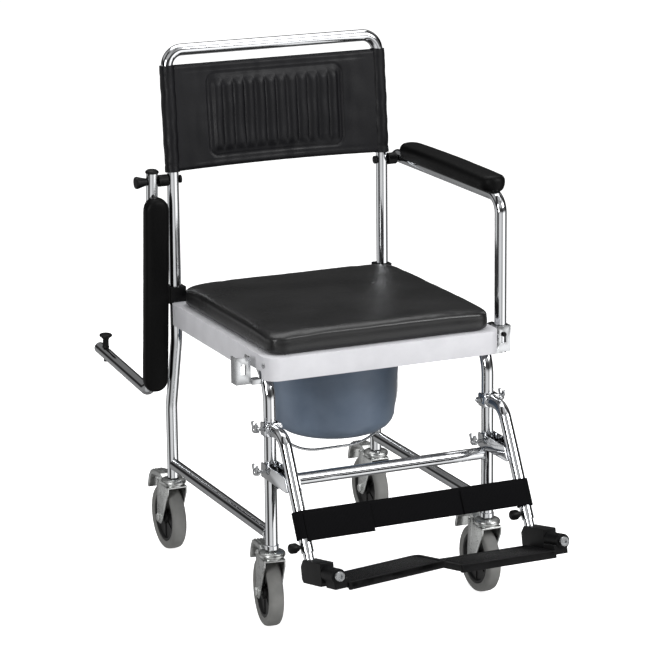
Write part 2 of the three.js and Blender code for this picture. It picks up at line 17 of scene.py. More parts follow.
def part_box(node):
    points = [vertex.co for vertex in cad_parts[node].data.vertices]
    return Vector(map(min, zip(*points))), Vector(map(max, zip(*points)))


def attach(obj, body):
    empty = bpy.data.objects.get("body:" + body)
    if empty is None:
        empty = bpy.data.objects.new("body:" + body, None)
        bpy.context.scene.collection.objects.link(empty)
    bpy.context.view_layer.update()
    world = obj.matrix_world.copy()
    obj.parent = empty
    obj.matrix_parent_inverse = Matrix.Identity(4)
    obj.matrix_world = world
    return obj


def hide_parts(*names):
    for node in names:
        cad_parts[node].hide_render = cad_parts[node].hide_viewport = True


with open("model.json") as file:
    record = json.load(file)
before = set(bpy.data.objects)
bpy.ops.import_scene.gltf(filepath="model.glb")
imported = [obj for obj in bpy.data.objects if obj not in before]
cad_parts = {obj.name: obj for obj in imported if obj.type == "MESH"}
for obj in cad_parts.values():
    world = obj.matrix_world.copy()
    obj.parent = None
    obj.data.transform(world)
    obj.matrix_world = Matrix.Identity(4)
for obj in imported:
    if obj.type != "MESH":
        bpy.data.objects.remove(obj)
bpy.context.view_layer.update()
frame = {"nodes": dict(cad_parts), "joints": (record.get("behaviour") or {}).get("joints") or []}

# %% [markdown]
# ## Places
# The chair is drawn in millimetres from three planes that a fitter would measure from: its
# mid-plane, the axis of the front legs and the floor. The castor stems in the frame say where
# those are, so nothing has to be fitted by eye.

# %% Reference planes
MM = 0.001
joints = {joint["name"]: joint for joint in frame["joints"]}
front_stem = Vector(joints["left_front_castor_swivel_turn"]["pos_m"]) / MM
rear_stem = Vector(joints["left_rear_castor_swivel_turn"]["pos_m"]) / MM
TRACK = front_stem.x
WHEEL_BASE = rear_stem.y - front_stem.y
SIDES = {"right": -1, "left": 1}
TUBE_R = 11


def place(x, y, z):
    """A point in metres, from millimetres off the mid-plane, the front legs' axis and the floor."""
    return Vector((x, y + front_stem.y, z)) * MM


print("half track", round(TRACK, 1), "wheel base", round(WHEEL_BASE, 1))

# %% [markdown]
# ## Working by hand in code
# Operators act on whatever is selected, so every piece starts with nothing selected. When a piece
# is shaped, its place is applied to its mesh, and it is smoothed wherever its faces meet gently.

# %% Selecting
def start():
    if bpy.context.object and bpy.context.object.mode != "OBJECT":
        bpy.ops.object.mode_set(mode="OBJECT")
    bpy.ops.object.select_all(action="DESELECT")


def pick(*pieces):
    start()
    for piece in pieces:
        piece.select_set(True)
    bpy.context.view_layer.objects.active = pieces[0]


def edit(piece):
    pick(piece)
    bpy.ops.object.mode_set(mode="EDIT")
    bpy.ops.mesh.select_mode(type="VERT")
    bpy.ops.mesh.select_all(action="SELECT")


def select_only(piece, kind, wanted):
    """Selects, in edit mode, just the faces or edges that pass a test."""
    bpy.ops.mesh.select_mode(type=kind)
    bpy.ops.mesh.select_all(action="DESELECT")
    mesh = bmesh.from_edit_mesh(piece.data)
    for part in (mesh.faces if kind == "FACE" else mesh.edges):
        if wanted(part):
            part.select_set(True)
    mesh.select_flush_mode()
    bmesh.update_edit_mesh(piece.data)


def upright(edge):
    """True for an edge that stands straight up."""
    run = edge.verts[0].co - edge.verts[1].co
    return abs(run.z) > 0.99 * run.length


# %% [markdown]
# ## Finishing a mesh
# Most meshes end the same way: doubled points are merged, the faces are turned outwards, edges get
# their small rounds from modifiers, and a copy of a piece always gets a mesh of its own.

# %% Finishing a mesh
def settle(piece, name, angle=35):
    """Names a piece, puts its place into its mesh and smooths its gentle edges."""
    pick(piece)
    bpy.ops.object.transform_apply(location=True, rotation=True, scale=True)
    piece.name = piece.data.name = name
    bpy.ops.object.shade_smooth_by_angle(angle=math.radians(angle))
    return piece


def tidy(piece, fill=False):
    """Merges doubled points, closes open ends if asked, and turns the faces outwards."""
    edit(piece)
    bpy.ops.mesh.remove_doubles(threshold=1e-6)
    if fill:
        bpy.ops.mesh.fill_holes(sides=0)
    bpy.ops.mesh.select_all(action="SELECT")
    bpy.ops.mesh.normals_make_consistent(inside=False)
    bpy.ops.object.mode_set(mode="OBJECT")


def apply_modifier(piece, kind, **settings):
    pick(piece)
    modifier = piece.modifiers.new(kind.title(), kind)
    for key, value in settings.items():
        setattr(modifier, key, value)
    bpy.ops.object.modifier_apply(modifier=modifier.name)
    return piece


def bevel(piece, width, segments=3, angle=30):
    return apply_modifier(
        piece, "BEVEL", width=width * MM, segments=segments, limit_method="ANGLE",
        angle_limit=math.radians(angle), use_clamp_overlap=True)


def joined(name, *pieces):
    pick(*pieces)
    bpy.ops.object.join()
    pieces[0].name = pieces[0].data.name = name
    return pieces[0]


def copied(piece, name, matrix):
    """A copy with its own mesh, moved by a matrix in the chair's frame."""
    twin = piece.copy()
    twin.data = piece.data.copy()
    bpy.context.scene.collection.objects.link(twin)
    twin.data.transform(matrix)
    twin.name = twin.data.name = name
    return twin


def about(point, turn):
    """A turn made about a point, not about the origin."""
    return Matrix.Translation(point) @ turn @ Matrix.Translation(-point)


# %% [markdown]
# ## Bending and turning
# A tube is a ring that is extruded along its straight runs and spun round its bends, as a tube
# bender does. A curve with a bevel would be quicker, but its bends aren't true arcs. A knob or a
# wheel is turned: a ring is extruded and resized up its profile.

# %% Bending and turning
def pull(offset):
    bpy.ops.mesh.extrude_region_move(TRANSFORM_OT_translate={"value": offset})


def bent(name, corners, radius=TUBE_R, wall=1.6, sides=40, step=5):
    """A tube along (x, y, z, bend radius) corners. With no wall it is a solid bar."""
    points = [place(*corner[:3]) for corner in corners]
    heading = (points[1] - points[0]).normalized()
    start()
    bpy.ops.mesh.primitive_circle_add(
        vertices=sides, radius=radius * MM, location=points[0],
        rotation=heading.to_track_quat("Z", "Y").to_euler())
    piece = bpy.context.object
    bpy.ops.object.transform_apply(location=True, rotation=True, scale=True)
    edit(piece)
    here = points[0]
    for before_point, corner, point, after_point in zip(points, corners[1:], points[1:], points[2:]):
        before = (point - before_point).normalized()
        after = (after_point - point).normalized()
        turn = before.angle(after)
        bend = corner[3] * MM
        set_back = bend * math.tan(turn / 2)
        inward = (after - before * before.dot(after)).normalized()
        arc_start = point - before * set_back
        pull(arc_start - here)
        bpy.ops.mesh.spin(
            steps=max(3, round(math.degrees(turn) / step)), angle=-turn,
            center=arc_start + inward * bend, axis=before.cross(after).normalized())
        here = point + after * set_back
    pull(points[-1] - here)
    tidy(piece, fill=not wall)
    if wall:
        apply_modifier(piece, "SOLIDIFY", thickness=wall * MM, offset=-1)
    return settle(piece, name)


def turned(name, profile, base, axis=(0, 0, 1), sides=36, edge=0.0, angle=35):
    """A turned piece from (radius, height) pairs along its axis, which stands at base in metres."""
    radius, height = profile[0]
    start()
    bpy.ops.mesh.primitive_circle_add(vertices=sides, radius=radius * MM, location=(0, 0, height * MM))
    piece = bpy.context.object
    bpy.ops.object.transform_apply(location=True, rotation=True, scale=True)
    edit(piece)
    for next_radius, next_height in profile[1:]:
        pull((0, 0, (next_height - height) * MM))
        scale = next_radius / radius
        bpy.ops.transform.resize(value=(scale, scale, 1), center_override=(0, 0, next_height * MM))
        radius, height = next_radius, next_height
    tidy(piece, fill=profile[0] != profile[-1])
    if edge:
        bevel(piece, edge, 2, 30)
    upright_to_axis = Vector(axis).to_track_quat("Z", "Y").to_matrix().to_4x4()
    piece.matrix_world = Matrix.Translation(base) @ upright_to_axis
    return settle(piece, name, angle)


print("frame tubes are", 2 * TUBE_R, "mm across")

# %% [markdown]
# ## Pressing and easing
# A pressing starts as a flat blank whose corners are rounded before it is given its thickness. A
# plain moulding or folded plate needs no more than its own solid, merged and with its edges eased.

# %% Pressing and easing
def blank(corners, rounding, segments=5):
    """A flat sheet through corners in millimetres, its corners rounded, left in edit mode."""
    start()
    bpy.ops.mesh.primitive_circle_add(vertices=len(corners), radius=1, fill_type="NGON")
    piece = bpy.context.object
    for vertex, corner in zip(piece.data.vertices, corners):
        vertex.co = Vector(corner) * MM
    edit(piece)
    if rounding:
        bpy.ops.mesh.bevel(offset=rounding * MM, segments=segments, affect="VERTICES")
        bpy.ops.mesh.select_all(action="SELECT")
    return piece


def pressed(name, corners, low, high, rounding=0.0, edge=0.5):
    """A blank of (y, z) corners seen from the side, thick from x = low to x = high."""
    piece = blank([(low, y, z) for y, z in corners], rounding)
    pull(((high - low) * MM, 0, 0))
    tidy(piece)
    if edge:
        bevel(piece, edge, 2, 40)
    return settle(piece, name)


def softened(node, name, width, segments=3):
    """A merged copy of a plain solid with its sharp edges rounded."""
    piece = bpy.data.objects.new(name, frame["nodes"][node].data.copy())
    bpy.context.scene.collection.objects.link(piece)
    tidy(piece)
    edit(piece)
    bpy.ops.mesh.dissolve_limited(angle_limit=math.radians(1))
    bpy.ops.object.mode_set(mode="OBJECT")
    bevel(piece, width, segments, 32)
    return settle(piece, name)


def slab(name, low, high, edge=1.0, segments=3):
    """A block between two corners in millimetres, its edges rounded."""
    low, high = place(*low), place(*high)
    start()
    bpy.ops.mesh.primitive_cube_add(size=1, location=(low + high) / 2, scale=high - low)
    piece = settle(bpy.context.object, name)
    if edge:
        bevel(piece, edge, segments, 30)
    return settle(piece, name)


# %% [markdown]
# ## Finishes
# Shader maths reads best as ordinary sums, so a link between nodes is wrapped in a small class
# whose operators add the maths nodes. A finish holds one material and makes every other node.

# %% Shader sums
class Link:
    def __init__(self, finish, socket):
        self.finish, self.socket = finish, socket

    def maths(self, operation, first, second):
        return self.finish.node("ShaderNodeMath", {"operation": operation}, {0: first, 1: second})

    def __add__(self, other):
        return self.maths("ADD", self, other)

    def __mul__(self, other):
        return self.maths("MULTIPLY", self, other)

    __radd__ = __add__
    __rmul__ = __mul__


# %% [markdown]
# Every texture below is worked out from object coordinates, so it needs no unwrapping and no
# picture file, and its grain keeps one size on every piece.

# %% A finish
class Finish:
    def __init__(self, name, tree=None):
        if tree is None:
            self.material = bpy.data.materials.new(name)
            self.material.use_nodes = True
            tree = self.material.node_tree
            self.shader = tree.nodes["Principled BSDF"]
        self.tree = tree

    def node(self, kind, settings=None, sockets=None, output=0):
        made = self.tree.nodes.new(kind)
        for key, value in (settings or {}).items():
            if key == "stops":
                self.set_stops(made.color_ramp, value)
            else:
                setattr(made, key, value)
        for key, value in (sockets or {}).items():
            if isinstance(value, Link):
                self.tree.links.new(value.socket, made.inputs[key])
            else:
                made.inputs[key].default_value = value
        return Link(self, made.outputs[output])

    @staticmethod
    def set_stops(ramp, stops):
        while len(ramp.elements) < len(stops):
            ramp.elements.new(1)
        for element, (position, color) in zip(ramp.elements, stops):
            element.position = position
            element.color = (*color, 1)

    def spot(self, scale=(1, 1, 1)):
        """Object coordinates, stretched."""
        where = self.node("ShaderNodeTexCoord", output="Object")
        return self.node("ShaderNodeMapping", sockets={"Vector": where, "Scale": scale})

    def noise(self, scale, detail=3.0, stretch=(1, 1, 1)):
        return self.node("ShaderNodeTexNoise", sockets={
            "Vector": self.spot(stretch), "Scale": scale, "Detail": detail})

    def cells(self, scale, feature="F1"):
        return self.node("ShaderNodeTexVoronoi", {"feature": feature}, {
            "Vector": self.spot(), "Scale": scale})

    def span(self, value, low, high, to_low=0.0, to_high=1.0):
        return self.node("ShaderNodeMapRange", sockets={
            "Value": value, "From Min": low, "From Max": high, "To Min": to_low, "To Max": to_high})

    def blend(self, factor, first, second):
        return self.node("ShaderNodeMix", {"data_type": "RGBA"}, {0: factor, 6: first, 7: second}, 2)

    def raise_by(self, height, distance, strength=1.0, under=None):
        sockets = {"Height": height, "Distance": distance * MM, "Strength": strength}
        if under:
            sockets["Normal"] = under
        return self.node("ShaderNodeBump", sockets=sockets)

    def set(self, **sockets):
        for key, value in sockets.items():
            target = self.shader.inputs[key.replace("_", " ")]
            if isinstance(value, Link):
                self.tree.links.new(value.socket, target)
            else:
                target.default_value = value
        return self.material


# %% [markdown]
# ## Placing a piece
# Every piece ends the same way. It gets the finish of its slot, it rides on the body that moves
# it, and it takes over from the plain solid it stands for.

# %% Placing a piece
FINISHES = {}


def finished(piece, node, body, slot):
    """Gives a piece its slot's finish and its body. A small extra piece has no solid of its own."""
    piece.data.materials.clear()
    piece.data.materials.append(FINISHES[slot])
    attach(piece, body)
    if node:
        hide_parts(node)
    print(piece.name, "has", len(piece.data.polygons), "faces")
    return piece


# %% [markdown]
# Chrome plate is a mirror with faint haze where hands wipe it. Zinc is duller, with a cloudy
# spangle, and its roughness follows the spangle. The steel of the screws is plainer. All three are
# fully metallic, because nothing is painted over them.

# %% Metals
def make_chrome():
    finish = Finish("chrome_plate")
    haze = finish.noise(14, 4)
    rub = finish.noise(180, 2, (1, 1, 0.15))
    return finish.set(
        Base_Color=finish.blend(haze, (0.58, 0.59, 0.61, 1), (0.71, 0.72, 0.73, 1)),
        Metallic=1.0,
        Roughness=finish.span(haze * 0.6 + rub * 0.4, 0.35, 0.65, 0.055, 0.13),
        Normal=finish.raise_by(rub, 0.02, 0.03))


def make_zinc():
    finish = Finish("zinc_plate")
    spangle = finish.cells(260)
    cloud = finish.noise(60, 4)
    tone = finish.span(spangle * 0.4 + cloud * 0.7, 0.3, 0.8)
    return finish.set(
        Base_Color=finish.blend(tone, (0.40, 0.41, 0.40, 1), (0.70, 0.71, 0.70, 1)),
        Metallic=1.0,
        Roughness=finish.span(tone, 0.0, 1.0, 0.24, 0.42),
        Normal=finish.raise_by(finish.noise(700, 3), 0.03, 0.25))


def make_steel():
    finish = Finish("fastener_steel")
    wear = finish.noise(120, 3)
    return finish.set(
        Base_Color=finish.blend(wear, (0.44, 0.45, 0.46, 1), (0.58, 0.59, 0.60, 1)),
        Metallic=1.0,
        Roughness=finish.span(wear, 0.3, 0.7, 0.18, 0.34),
        Normal=finish.raise_by(wear, 0.01, 0.1))


FINISHES["chrome_tube"] = make_chrome()
FINISHES["zinc"] = make_zinc()
FINISHES["steel"] = make_steel()
print("metals", list(FINISHES))

# %% [markdown]
# Moulded plastic has a fine spark-eroded grain, and a thin gloss that is broken a little by
# handling. The seat is a bright white, the pan a satin blue-grey with faint flow marks, and the
# knobs and plates are near black. Grey castor rubber is flat and a little dusty.

# %% Plastics and rubber
def make_plastic(name, dark, light, low, high, grain, depth=0.03, gloss=0.5):
    finish = Finish(name)
    cloud = finish.noise(30, 4)
    texture = finish.noise(grain, 2)
    return finish.set(
        Base_Color=finish.blend(finish.span(cloud, 0.3, 0.7), (*dark, 1), (*light, 1)),
        Roughness=finish.span(cloud * 0.6 + texture * 0.4, 0.3, 0.7, low, high),
        Specular_IOR_Level=gloss,
        Normal=finish.raise_by(texture, depth, 0.35))


for name, *look in (
        ("white_plastic", (0.69, 0.69, 0.72), (0.76, 0.76, 0.79), 0.30, 0.42, 1100),
        ("pan_plastic", (0.145, 0.188, 0.255), (0.175, 0.225, 0.300), 0.34, 0.46, 800, 0.03, 0.4),
        ("black_plastic", (0.003, 0.003, 0.0033), (0.006, 0.006, 0.0064), 0.34, 0.52, 1300, 0.05, 0.16),
        ("hub_plastic", (0.004, 0.004, 0.004), (0.008, 0.008, 0.008), 0.30, 0.45, 900, 0.03, 0.25),
        ("tyre_rubber", (0.190, 0.190, 0.184), (0.260, 0.260, 0.250), 0.60, 0.80, 600, 0.05, 0.25)):
    FINISHES[name] = make_plastic(name, *look)
print("plastics", list(FINISHES)[3:])

# %% [markdown]
# Vinyl has a leather print: small domed cells with creases between them. The creases are cut by
# the distance to the cell edges, and the colour is painted darker in them, as painted shade. The
# arm foam has a coarser pebble. Webbing is woven, so two sets of ribs cross at the pitch of the
# yarns; its raised yarns are painted lighter, a painted highlight, and the dips darker, painted shade.

# %% Soft finishes
def make_vinyl(name, dark, light, low, high, cell, depth, gloss):
    finish = Finish(name)
    # This mask also darkens the colour where the print dips: painted shade.
    creases_and_painted_shade = finish.span(finish.cells(cell, "DISTANCE_TO_EDGE"), 0.0, 0.12)
    pores = finish.noise(cell * 2.5, 3)
    handling = finish.span(finish.noise(9, 5), 0.3, 0.7)
    print_relief = finish.raise_by(creases_and_painted_shade * 0.8 + pores * 0.3, depth, 0.45)
    return finish.set(
        Base_Color=finish.blend(creases_and_painted_shade * 0.7 + handling * 0.3, (*dark, 1), (*light, 1)),
        Roughness=finish.span(handling * 0.6 + pores * 0.4, 0.2, 0.8, low, high),
        Specular_IOR_Level=gloss,
        Normal=finish.raise_by(finish.noise(26, 3), 0.5, 0.25, print_relief))


def make_webbing():
    finish = Finish("strap_webbing")
    warp = finish.node("ShaderNodeTexWave", {"bands_direction": "Z"}, {
        "Vector": finish.spot(), "Scale": 190.0, "Distortion": 0.4, "Detail": 1.0})
    weft = finish.node("ShaderNodeTexWave", {"bands_direction": "X"}, {
        "Vector": finish.spot(), "Scale": 120.0, "Distortion": 0.5, "Detail": 1.0})
    # The weave's height also sets the colour: raised yarns are painted lighter and the dips darker, a
    # painted highlight and painted shade.
    yarn_relief_and_painted_light = warp * weft
    fuzz = finish.noise(1500, 2)
    return finish.set(
        Base_Color=finish.blend(
            yarn_relief_and_painted_light * 0.7 + fuzz * 0.3, (0.0020, 0.0020, 0.0024, 1), (0.0080, 0.0080, 0.0090, 1)),
        Roughness=finish.span(fuzz, 0.2, 0.8, 0.72, 0.92),
        Specular_IOR_Level=0.06,
        Normal=finish.raise_by(yarn_relief_and_painted_light, 0.25, 0.6))


for name, *look in (
        ("cushion_vinyl", (0.0070, 0.0070, 0.0073), (0.0150, 0.0150, 0.0154), 0.26, 0.40, 420, 0.10, 0.42),
        ("sling_vinyl", (0.0042, 0.0042, 0.0052), (0.0082, 0.0082, 0.0098), 0.36, 0.50, 380, 0.10, 0.20),
        ("arm_foam", (0.0014, 0.0014, 0.0015), (0.0034, 0.0034, 0.0035), 0.38, 0.54, 300, 0.14, 0.10)):
    FINISHES[name] = make_vinyl(name, *look)
FINISHES["webbing"] = make_webbing()
print("soft finishes", list(FINISHES)[8:])

# %% [markdown]
# ## The tube frame
# The rear frame is one hoop: it rises from the rear castors, jogs forward, leans back above the
# arms and turns across as the push handle. It is made as one run of straights and bends, so there
# is no seam to hide where its parts would meet.

# %% Rear hoop
UPRIGHT_Y = 441
RECLINE_Z, HANDLE_Z = 740, 962
RECLINE = math.radians(5.2)
SEAT_RAIL_Z, REAR_CROSS_Z, FRONT_CROSS_Z, LOWER_RAIL_Z, LEG_FOOT_Z = 483, 481, 269, 174, 147.5


def bead(name, x, y, z, axis, radius=TUBE_R, size=1.5):
    """The ring of weld where one tube meets another."""
    start()
    bpy.ops.mesh.primitive_torus_add(
        major_radius=(radius + 0.2) * MM, minor_radius=size * MM, major_segments=36, minor_segments=8,
        location=place(x, y, z), rotation=Vector(axis).to_track_quat("Z", "Y").to_euler())
    piece = settle(bpy.context.object, name)
    for vertex in piece.data.vertices:
        vertex.co += noise.noise_vector(vertex.co * 400) * 0.25 * MM
    return piece


def rear_hoop():
    handle_y = UPRIGHT_Y + (HANDLE_Z - RECLINE_Z) * math.tan(RECLINE)
    right, left = [
        [(x, WHEEL_BASE, LEG_FOOT_Z), (x, WHEEL_BASE, 290, 80), (x, UPRIGHT_Y, 428, 80),
         (x, UPRIGHT_Y, RECLINE_Z, 120), (x, handle_y, HANDLE_Z, 30)] for x in (-TRACK, TRACK)]
    inside = TRACK - TUBE_R + 1
    parts = [
        bent("hoop", right + left[::-1]),
        bent("rear_cross", [(-inside, UPRIGHT_Y, REAR_CROSS_Z), (inside, UPRIGHT_Y, REAR_CROSS_Z)])]
    for side in SIDES.values():
        parts.append(bead("weld", side * (TRACK - TUBE_R + 0.4), UPRIGHT_Y, REAR_CROSS_Z, (1, 0, 0)))
    return joined("rear_frame_tube", *parts)


finished(rear_hoop(), "rear_frame", "root", "chrome_tube")

# %% [markdown]
# Each side frame is a leg that bends into the seat rail, with a plain rail welded low between the
# legs. Two plain cross tubes tie the sides together. The joints that show get a bead of weld, and
# a pressed collar hides where the castor stem goes in.

# %% Side frames and cross tubes
def side_tubes(name, x):
    clear = TUBE_R + 0.8
    parts = [
        bent("leg", [(x, 0, LEG_FOOT_Z), (x, 0, SEAT_RAIL_Z, 70), (x, UPRIGHT_Y - clear, SEAT_RAIL_Z)]),
        bent("rail", [(x, TUBE_R - 1, LOWER_RAIL_Z), (x, WHEEL_BASE - clear, LOWER_RAIL_Z)]),
        bead("weld", x, TUBE_R - 0.4, LOWER_RAIL_Z, (0, 1, 0)),
        bead("weld", x - math.copysign(TUBE_R, x), 0, FRONT_CROSS_Z, (1, 0, 0)),
        turned("collar", [(TUBE_R + 0.1, 0), (TUBE_R + 1.6, 1), (TUBE_R + 1.6, 8), (TUBE_R + 0.1, 9)],
               place(x, 0, LEG_FOOT_Z + 1), sides=40)]
    return joined(f"{name}_side_tubes", *parts)


for name, side in SIDES.items():
    finished(side_tubes(name, side * TRACK), f"{name}_side_frame", "root", "chrome_tube")
reach = TRACK - TUBE_R - 0.4
low_bar = bent("front_cross_bar", [(-reach, 0, FRONT_CROSS_Z), (reach, 0, FRONT_CROSS_Z)])
finished(low_bar, "front_cross_tube", "root", "chrome_tube")
reach -= 0.4
seat_bar = bent("front_seat_bar", [(-reach, 38, 475.5), (reach, 38, 475.5)])
finished(seat_bar, "front_seat_tube", "root", "chrome_tube")

# %% [markdown]
# ## Arms
# An arm turns about a bolt through its upright. It is made raised, at the sitter's left, and the
# right one is the same arm turned about its pivot to where the frame holds it lowered. The pad is
# moulded foam: a long capsule with a crowned top, drawn in below where it sits on the tube. It is
# remeshed evenly first, because a few long faces can't be shaped or smoothed.

# %% Arm tube and pad
ARM_X, ARM_Z = 252, 727
ARM_LENGTH, POST_LENGTH, PLUNGER_DROP = 411, 283, 248
PAD_HALF, PAD_TOP = 26, 34
ARM_LOWERED = math.radians(94.5)


def arm_tube():
    post_y = UPRIGHT_Y - ARM_LENGTH
    return bent("left_arm_bent_tube", [
        (ARM_X, UPRIGHT_Y + 16, ARM_Z), (ARM_X, post_y, ARM_Z, 30), (ARM_X, post_y, ARM_Z - POST_LENGTH)])


def round_uprights(piece, corner):
    """Rounds just the edges that stand up, so the plan gets round corners."""
    edit(piece)
    select_only(piece, "EDGE", upright)
    bpy.ops.mesh.bevel(offset=corner * MM, segments=10, affect="EDGES")
    bpy.ops.object.mode_set(mode="OBJECT")


def arm_pad():
    low = (ARM_X - PAD_HALF, UPRIGHT_Y - 400, ARM_Z + 3.5)
    high = (ARM_X + PAD_HALF, UPRIGHT_Y - 25, ARM_Z + PAD_TOP)
    piece = slab("left_arm_rest", low, high, 0)
    round_uprights(piece, PAD_HALF - 2)
    bevel(piece, 12, 5, 50)
    edit(piece)
    bpy.ops.mesh.quads_convert_to_tris()
    bpy.ops.object.mode_set(mode="OBJECT")
    apply_modifier(piece, "REMESH", mode="VOXEL", voxel_size=2.6 * MM)
    middle = place(ARM_X, UPRIGHT_Y - 212, ARM_Z)
    for vertex in piece.data.vertices:
        across = (vertex.co.x - middle.x) / (PAD_HALF * MM)
        along = (vertex.co.y - middle.y) / (188 * MM)
        up = max(0.0, (vertex.co.z - middle.z) / (PAD_TOP * MM))
        vertex.co.z += up * (1 - across * across) * 2.6 * MM
        vertex.co.z += up * 1.2 * MM * math.cos(along * 2.6)
        vertex.co.x += (1 - up) * (middle.x - vertex.co.x) * 0.22
        vertex.co += noise.noise_vector(vertex.co * 30) * 0.35 * MM
    apply_modifier(piece, "SMOOTH", factor=0.6, iterations=6)
    apply_modifier(piece, "SUBSURF", levels=1, render_levels=1)
    return settle(piece, "left_arm_rest", 60)


# %% [markdown]
# The cap and the plunger are both turned, like small knobs. Each piece is then copied to the right
# before it is placed, so that the copy starts with no body of its own.

# %% Arm cap, plunger and the right arm
def arm_cap():
    return turned("left_arm_mushroom_cap", [
        (8.6, 0), (8.6, 9.9), (12.2, 10.3), (12.8, 11.8), (12.2, 13.4), (9.6, 15.6), (5.5, 16.8),
        (1.2, 17.1)],
        place(ARM_X, UPRIGHT_Y + 6, ARM_Z), (0, 1, 0))


def plunger():
    return turned("left_plunger_knob", [
        (3.9, -17), (4, 11), (6.9, 11.5), (6.9, 13.5), (6, 15), (5.8, 28), (7.5, 31), (12, 34.6),
        (12.6, 36.2), (12, 37.8), (9, 39), (1.2, 39.4)],
        place(ARM_X, UPRIGHT_Y - ARM_LENGTH, ARM_Z - PLUNGER_DROP), (0, 1, 0))


def lowered():
    """The move from the raised left arm to the lowered right arm."""
    left, right = place(ARM_X, UPRIGHT_Y, ARM_Z), place(-ARM_X, UPRIGHT_Y, ARM_Z)
    return (Matrix.Translation(right) @ Matrix.Rotation(ARM_LOWERED, 4, "X")
            @ Matrix.Translation(-left))


arm_pieces = [
    (arm_tube(), "arm_bent_tube", "arm_tube", "arm", "chrome_tube"),
    (arm_pad(), "arm_rest", "arm_pad", "arm", "arm_foam"),
    (arm_cap(), "arm_mushroom_cap", "arm_end_cap", "arm", "black_plastic"),
    (plunger(), "plunger_knob", "plunger", "plunger", "black_plastic")]
for piece, name, node, body, slot in arm_pieces:
    twin = copied(piece, f"right_{name}", lowered())
    finished(piece, f"left_{node}", f"left_{body}", slot)
    finished(twin, f"right_{node}", f"right_{body}", slot)
    node == "arm_pad"

# %% [markdown]
# The arm turns on a bolt through the upright, with a conical knob outside to clamp it and a bush
# to space it. The slotted catch for the post is a plain folded plate, so its edges are eased on a
# merged copy of the solid.

# %% Arm pivots and catches
def arm_pivot(name, side):
    base = place(side * (TRACK - TUBE_R - 4.9), UPRIGHT_Y, ARM_Z)
    bolt = turned("bolt", [(7.5, 0), (7.5, 4.4), (4, 4.4), (4, 70)], base, (side, 0, 0), 24, 0.5)
    knob = turned("knob", [
        (6.8, 68), (7.2, 70), (8.4, 75), (11.2, 85), (11.6, 87), (10.6, 89.3), (7.5, 90)],
        base, (side, 0, 0), 32)
    return joined(f"{name}_pivot_bolt", bolt, knob)


def bush(name, side):
    return turned(f"{name}_pivot_bush", [
        (4.7, 0), (10.4, 0), (11, 0.8), (11, 17), (10.4, 17.8), (4.7, 17.8), (4.7, 0)],
        place(side * (TRACK + TUBE_R + 0.4), UPRIGHT_Y, ARM_Z), (side, 0, 0), 32)


for name, side in SIDES.items():
    finished(arm_pivot(name, side), f"{name}_arm_pivot_knob", "root", "black_plastic")
    finished(bush(name, side), f"{name}_arm_spacer", "root", "black_plastic")
    catch = softened(f"{name}_arm_catch", f"{name}_post_catch", 0.5)
    finished(catch, f"{name}_arm_catch", "root", "steel")

# %% [markdown]
# ## Seat
# The seat is a thin white moulding: a flat deck with a deep skirt, open behind, and an oval
# opening over the pan. Its plain solid has the right walls, so its corners are rounded on a merged
# copy. The clamps and the pan's rails are plain blocks on the real chair too.

# %% Seat moulding and its fittings
seat = softened("commode_seat", "seat_moulding", 2.2, 4)
finished(seat, "commode_seat", "root", "white_plastic")
for name in SIDES:
    clamp = softened(f"{name}_seat_clamp", f"{name}_seat_saddle", 2.0)
    finished(clamp, f"{name}_seat_clamp", "root", "black_plastic")
carrier = softened("pan_carrier", "pan_rails", 0.8)
finished(carrier, "pan_carrier", "root", "white_plastic")


def skirt_screw(name, side):
    base = place(side * 225.2, -10, 484)
    return turned(f"{name}_skirt_screw", [(2.6, -0.2), (4.4, 0.3), (4.2, 1.4), (2.8, 2.2), (1.0, 2.3)],
                  base, (side, 0, 0), 20)


for name, side in SIDES.items():
    finished(skirt_screw(name, side), None, "root", "steel")

# %% [markdown]
# ## Seat cushion
# The cushion is foam under vinyl, sewn from a top panel and a boxed side. It is pumped up by a
# short cloth simulation from a slightly small block, so its sides bow between the corners and its
# top crowns. The movement is capped, because foam doesn't balloon.

# %% Pumping up
def pumped(piece, pressure, cap, frames=20):
    """A short pressure simulation, after which no point has moved further than the cap."""
    rest = [vertex.co.copy() for vertex in piece.data.vertices]
    pick(piece)
    cloth = piece.modifiers.new("Cloth", "CLOTH")
    cloth.settings.use_pressure = True
    cloth.settings.uniform_pressure_force = pressure
    cloth.settings.quality = 4
    cloth.settings.tension_stiffness = cloth.settings.compression_stiffness = 12
    cloth.settings.effector_weights.gravity = 0
    cloth.point_cache.frame_end = frames
    scene = bpy.context.scene
    for number in range(1, frames + 1):
        scene.frame_set(number)
    bpy.ops.object.modifier_apply(modifier=cloth.name)
    scene.frame_set(1)
    for vertex, before in zip(piece.data.vertices, rest):
        move = vertex.co - before
        if move.length > cap * MM:
            vertex.co = before + move.normalized() * cap * MM
    return piece


# %% [markdown]
# The simulation alone leaves the block too even. The base stays flat where it lies on the seat, the
# corners are thinner, the top gets shallow wrinkles, and a seam pinches the side all round.

# %% Cushion
CUSHION_LOW, CUSHION_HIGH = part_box("seat_cushion")


def step_up(value, low, high):
    """A smooth step from 0 at low to 1 at high."""
    share = min(1.0, max(0.0, (value - low) / (high - low)))
    return share * share * (3 - 2 * share)


def rounded_block(name, low, high, corner, edge, voxel):
    """A block with upright corners of one radius and softer edges, evenly meshed."""
    start()
    bpy.ops.mesh.primitive_cube_add(size=1, location=(low + high) / 2, scale=high - low)
    piece = settle(bpy.context.object, name)
    round_uprights(piece, corner)
    bevel(piece, edge, 4, 50)
    apply_modifier(piece, "REMESH", mode="VOXEL", voxel_size=voxel * MM)
    return piece


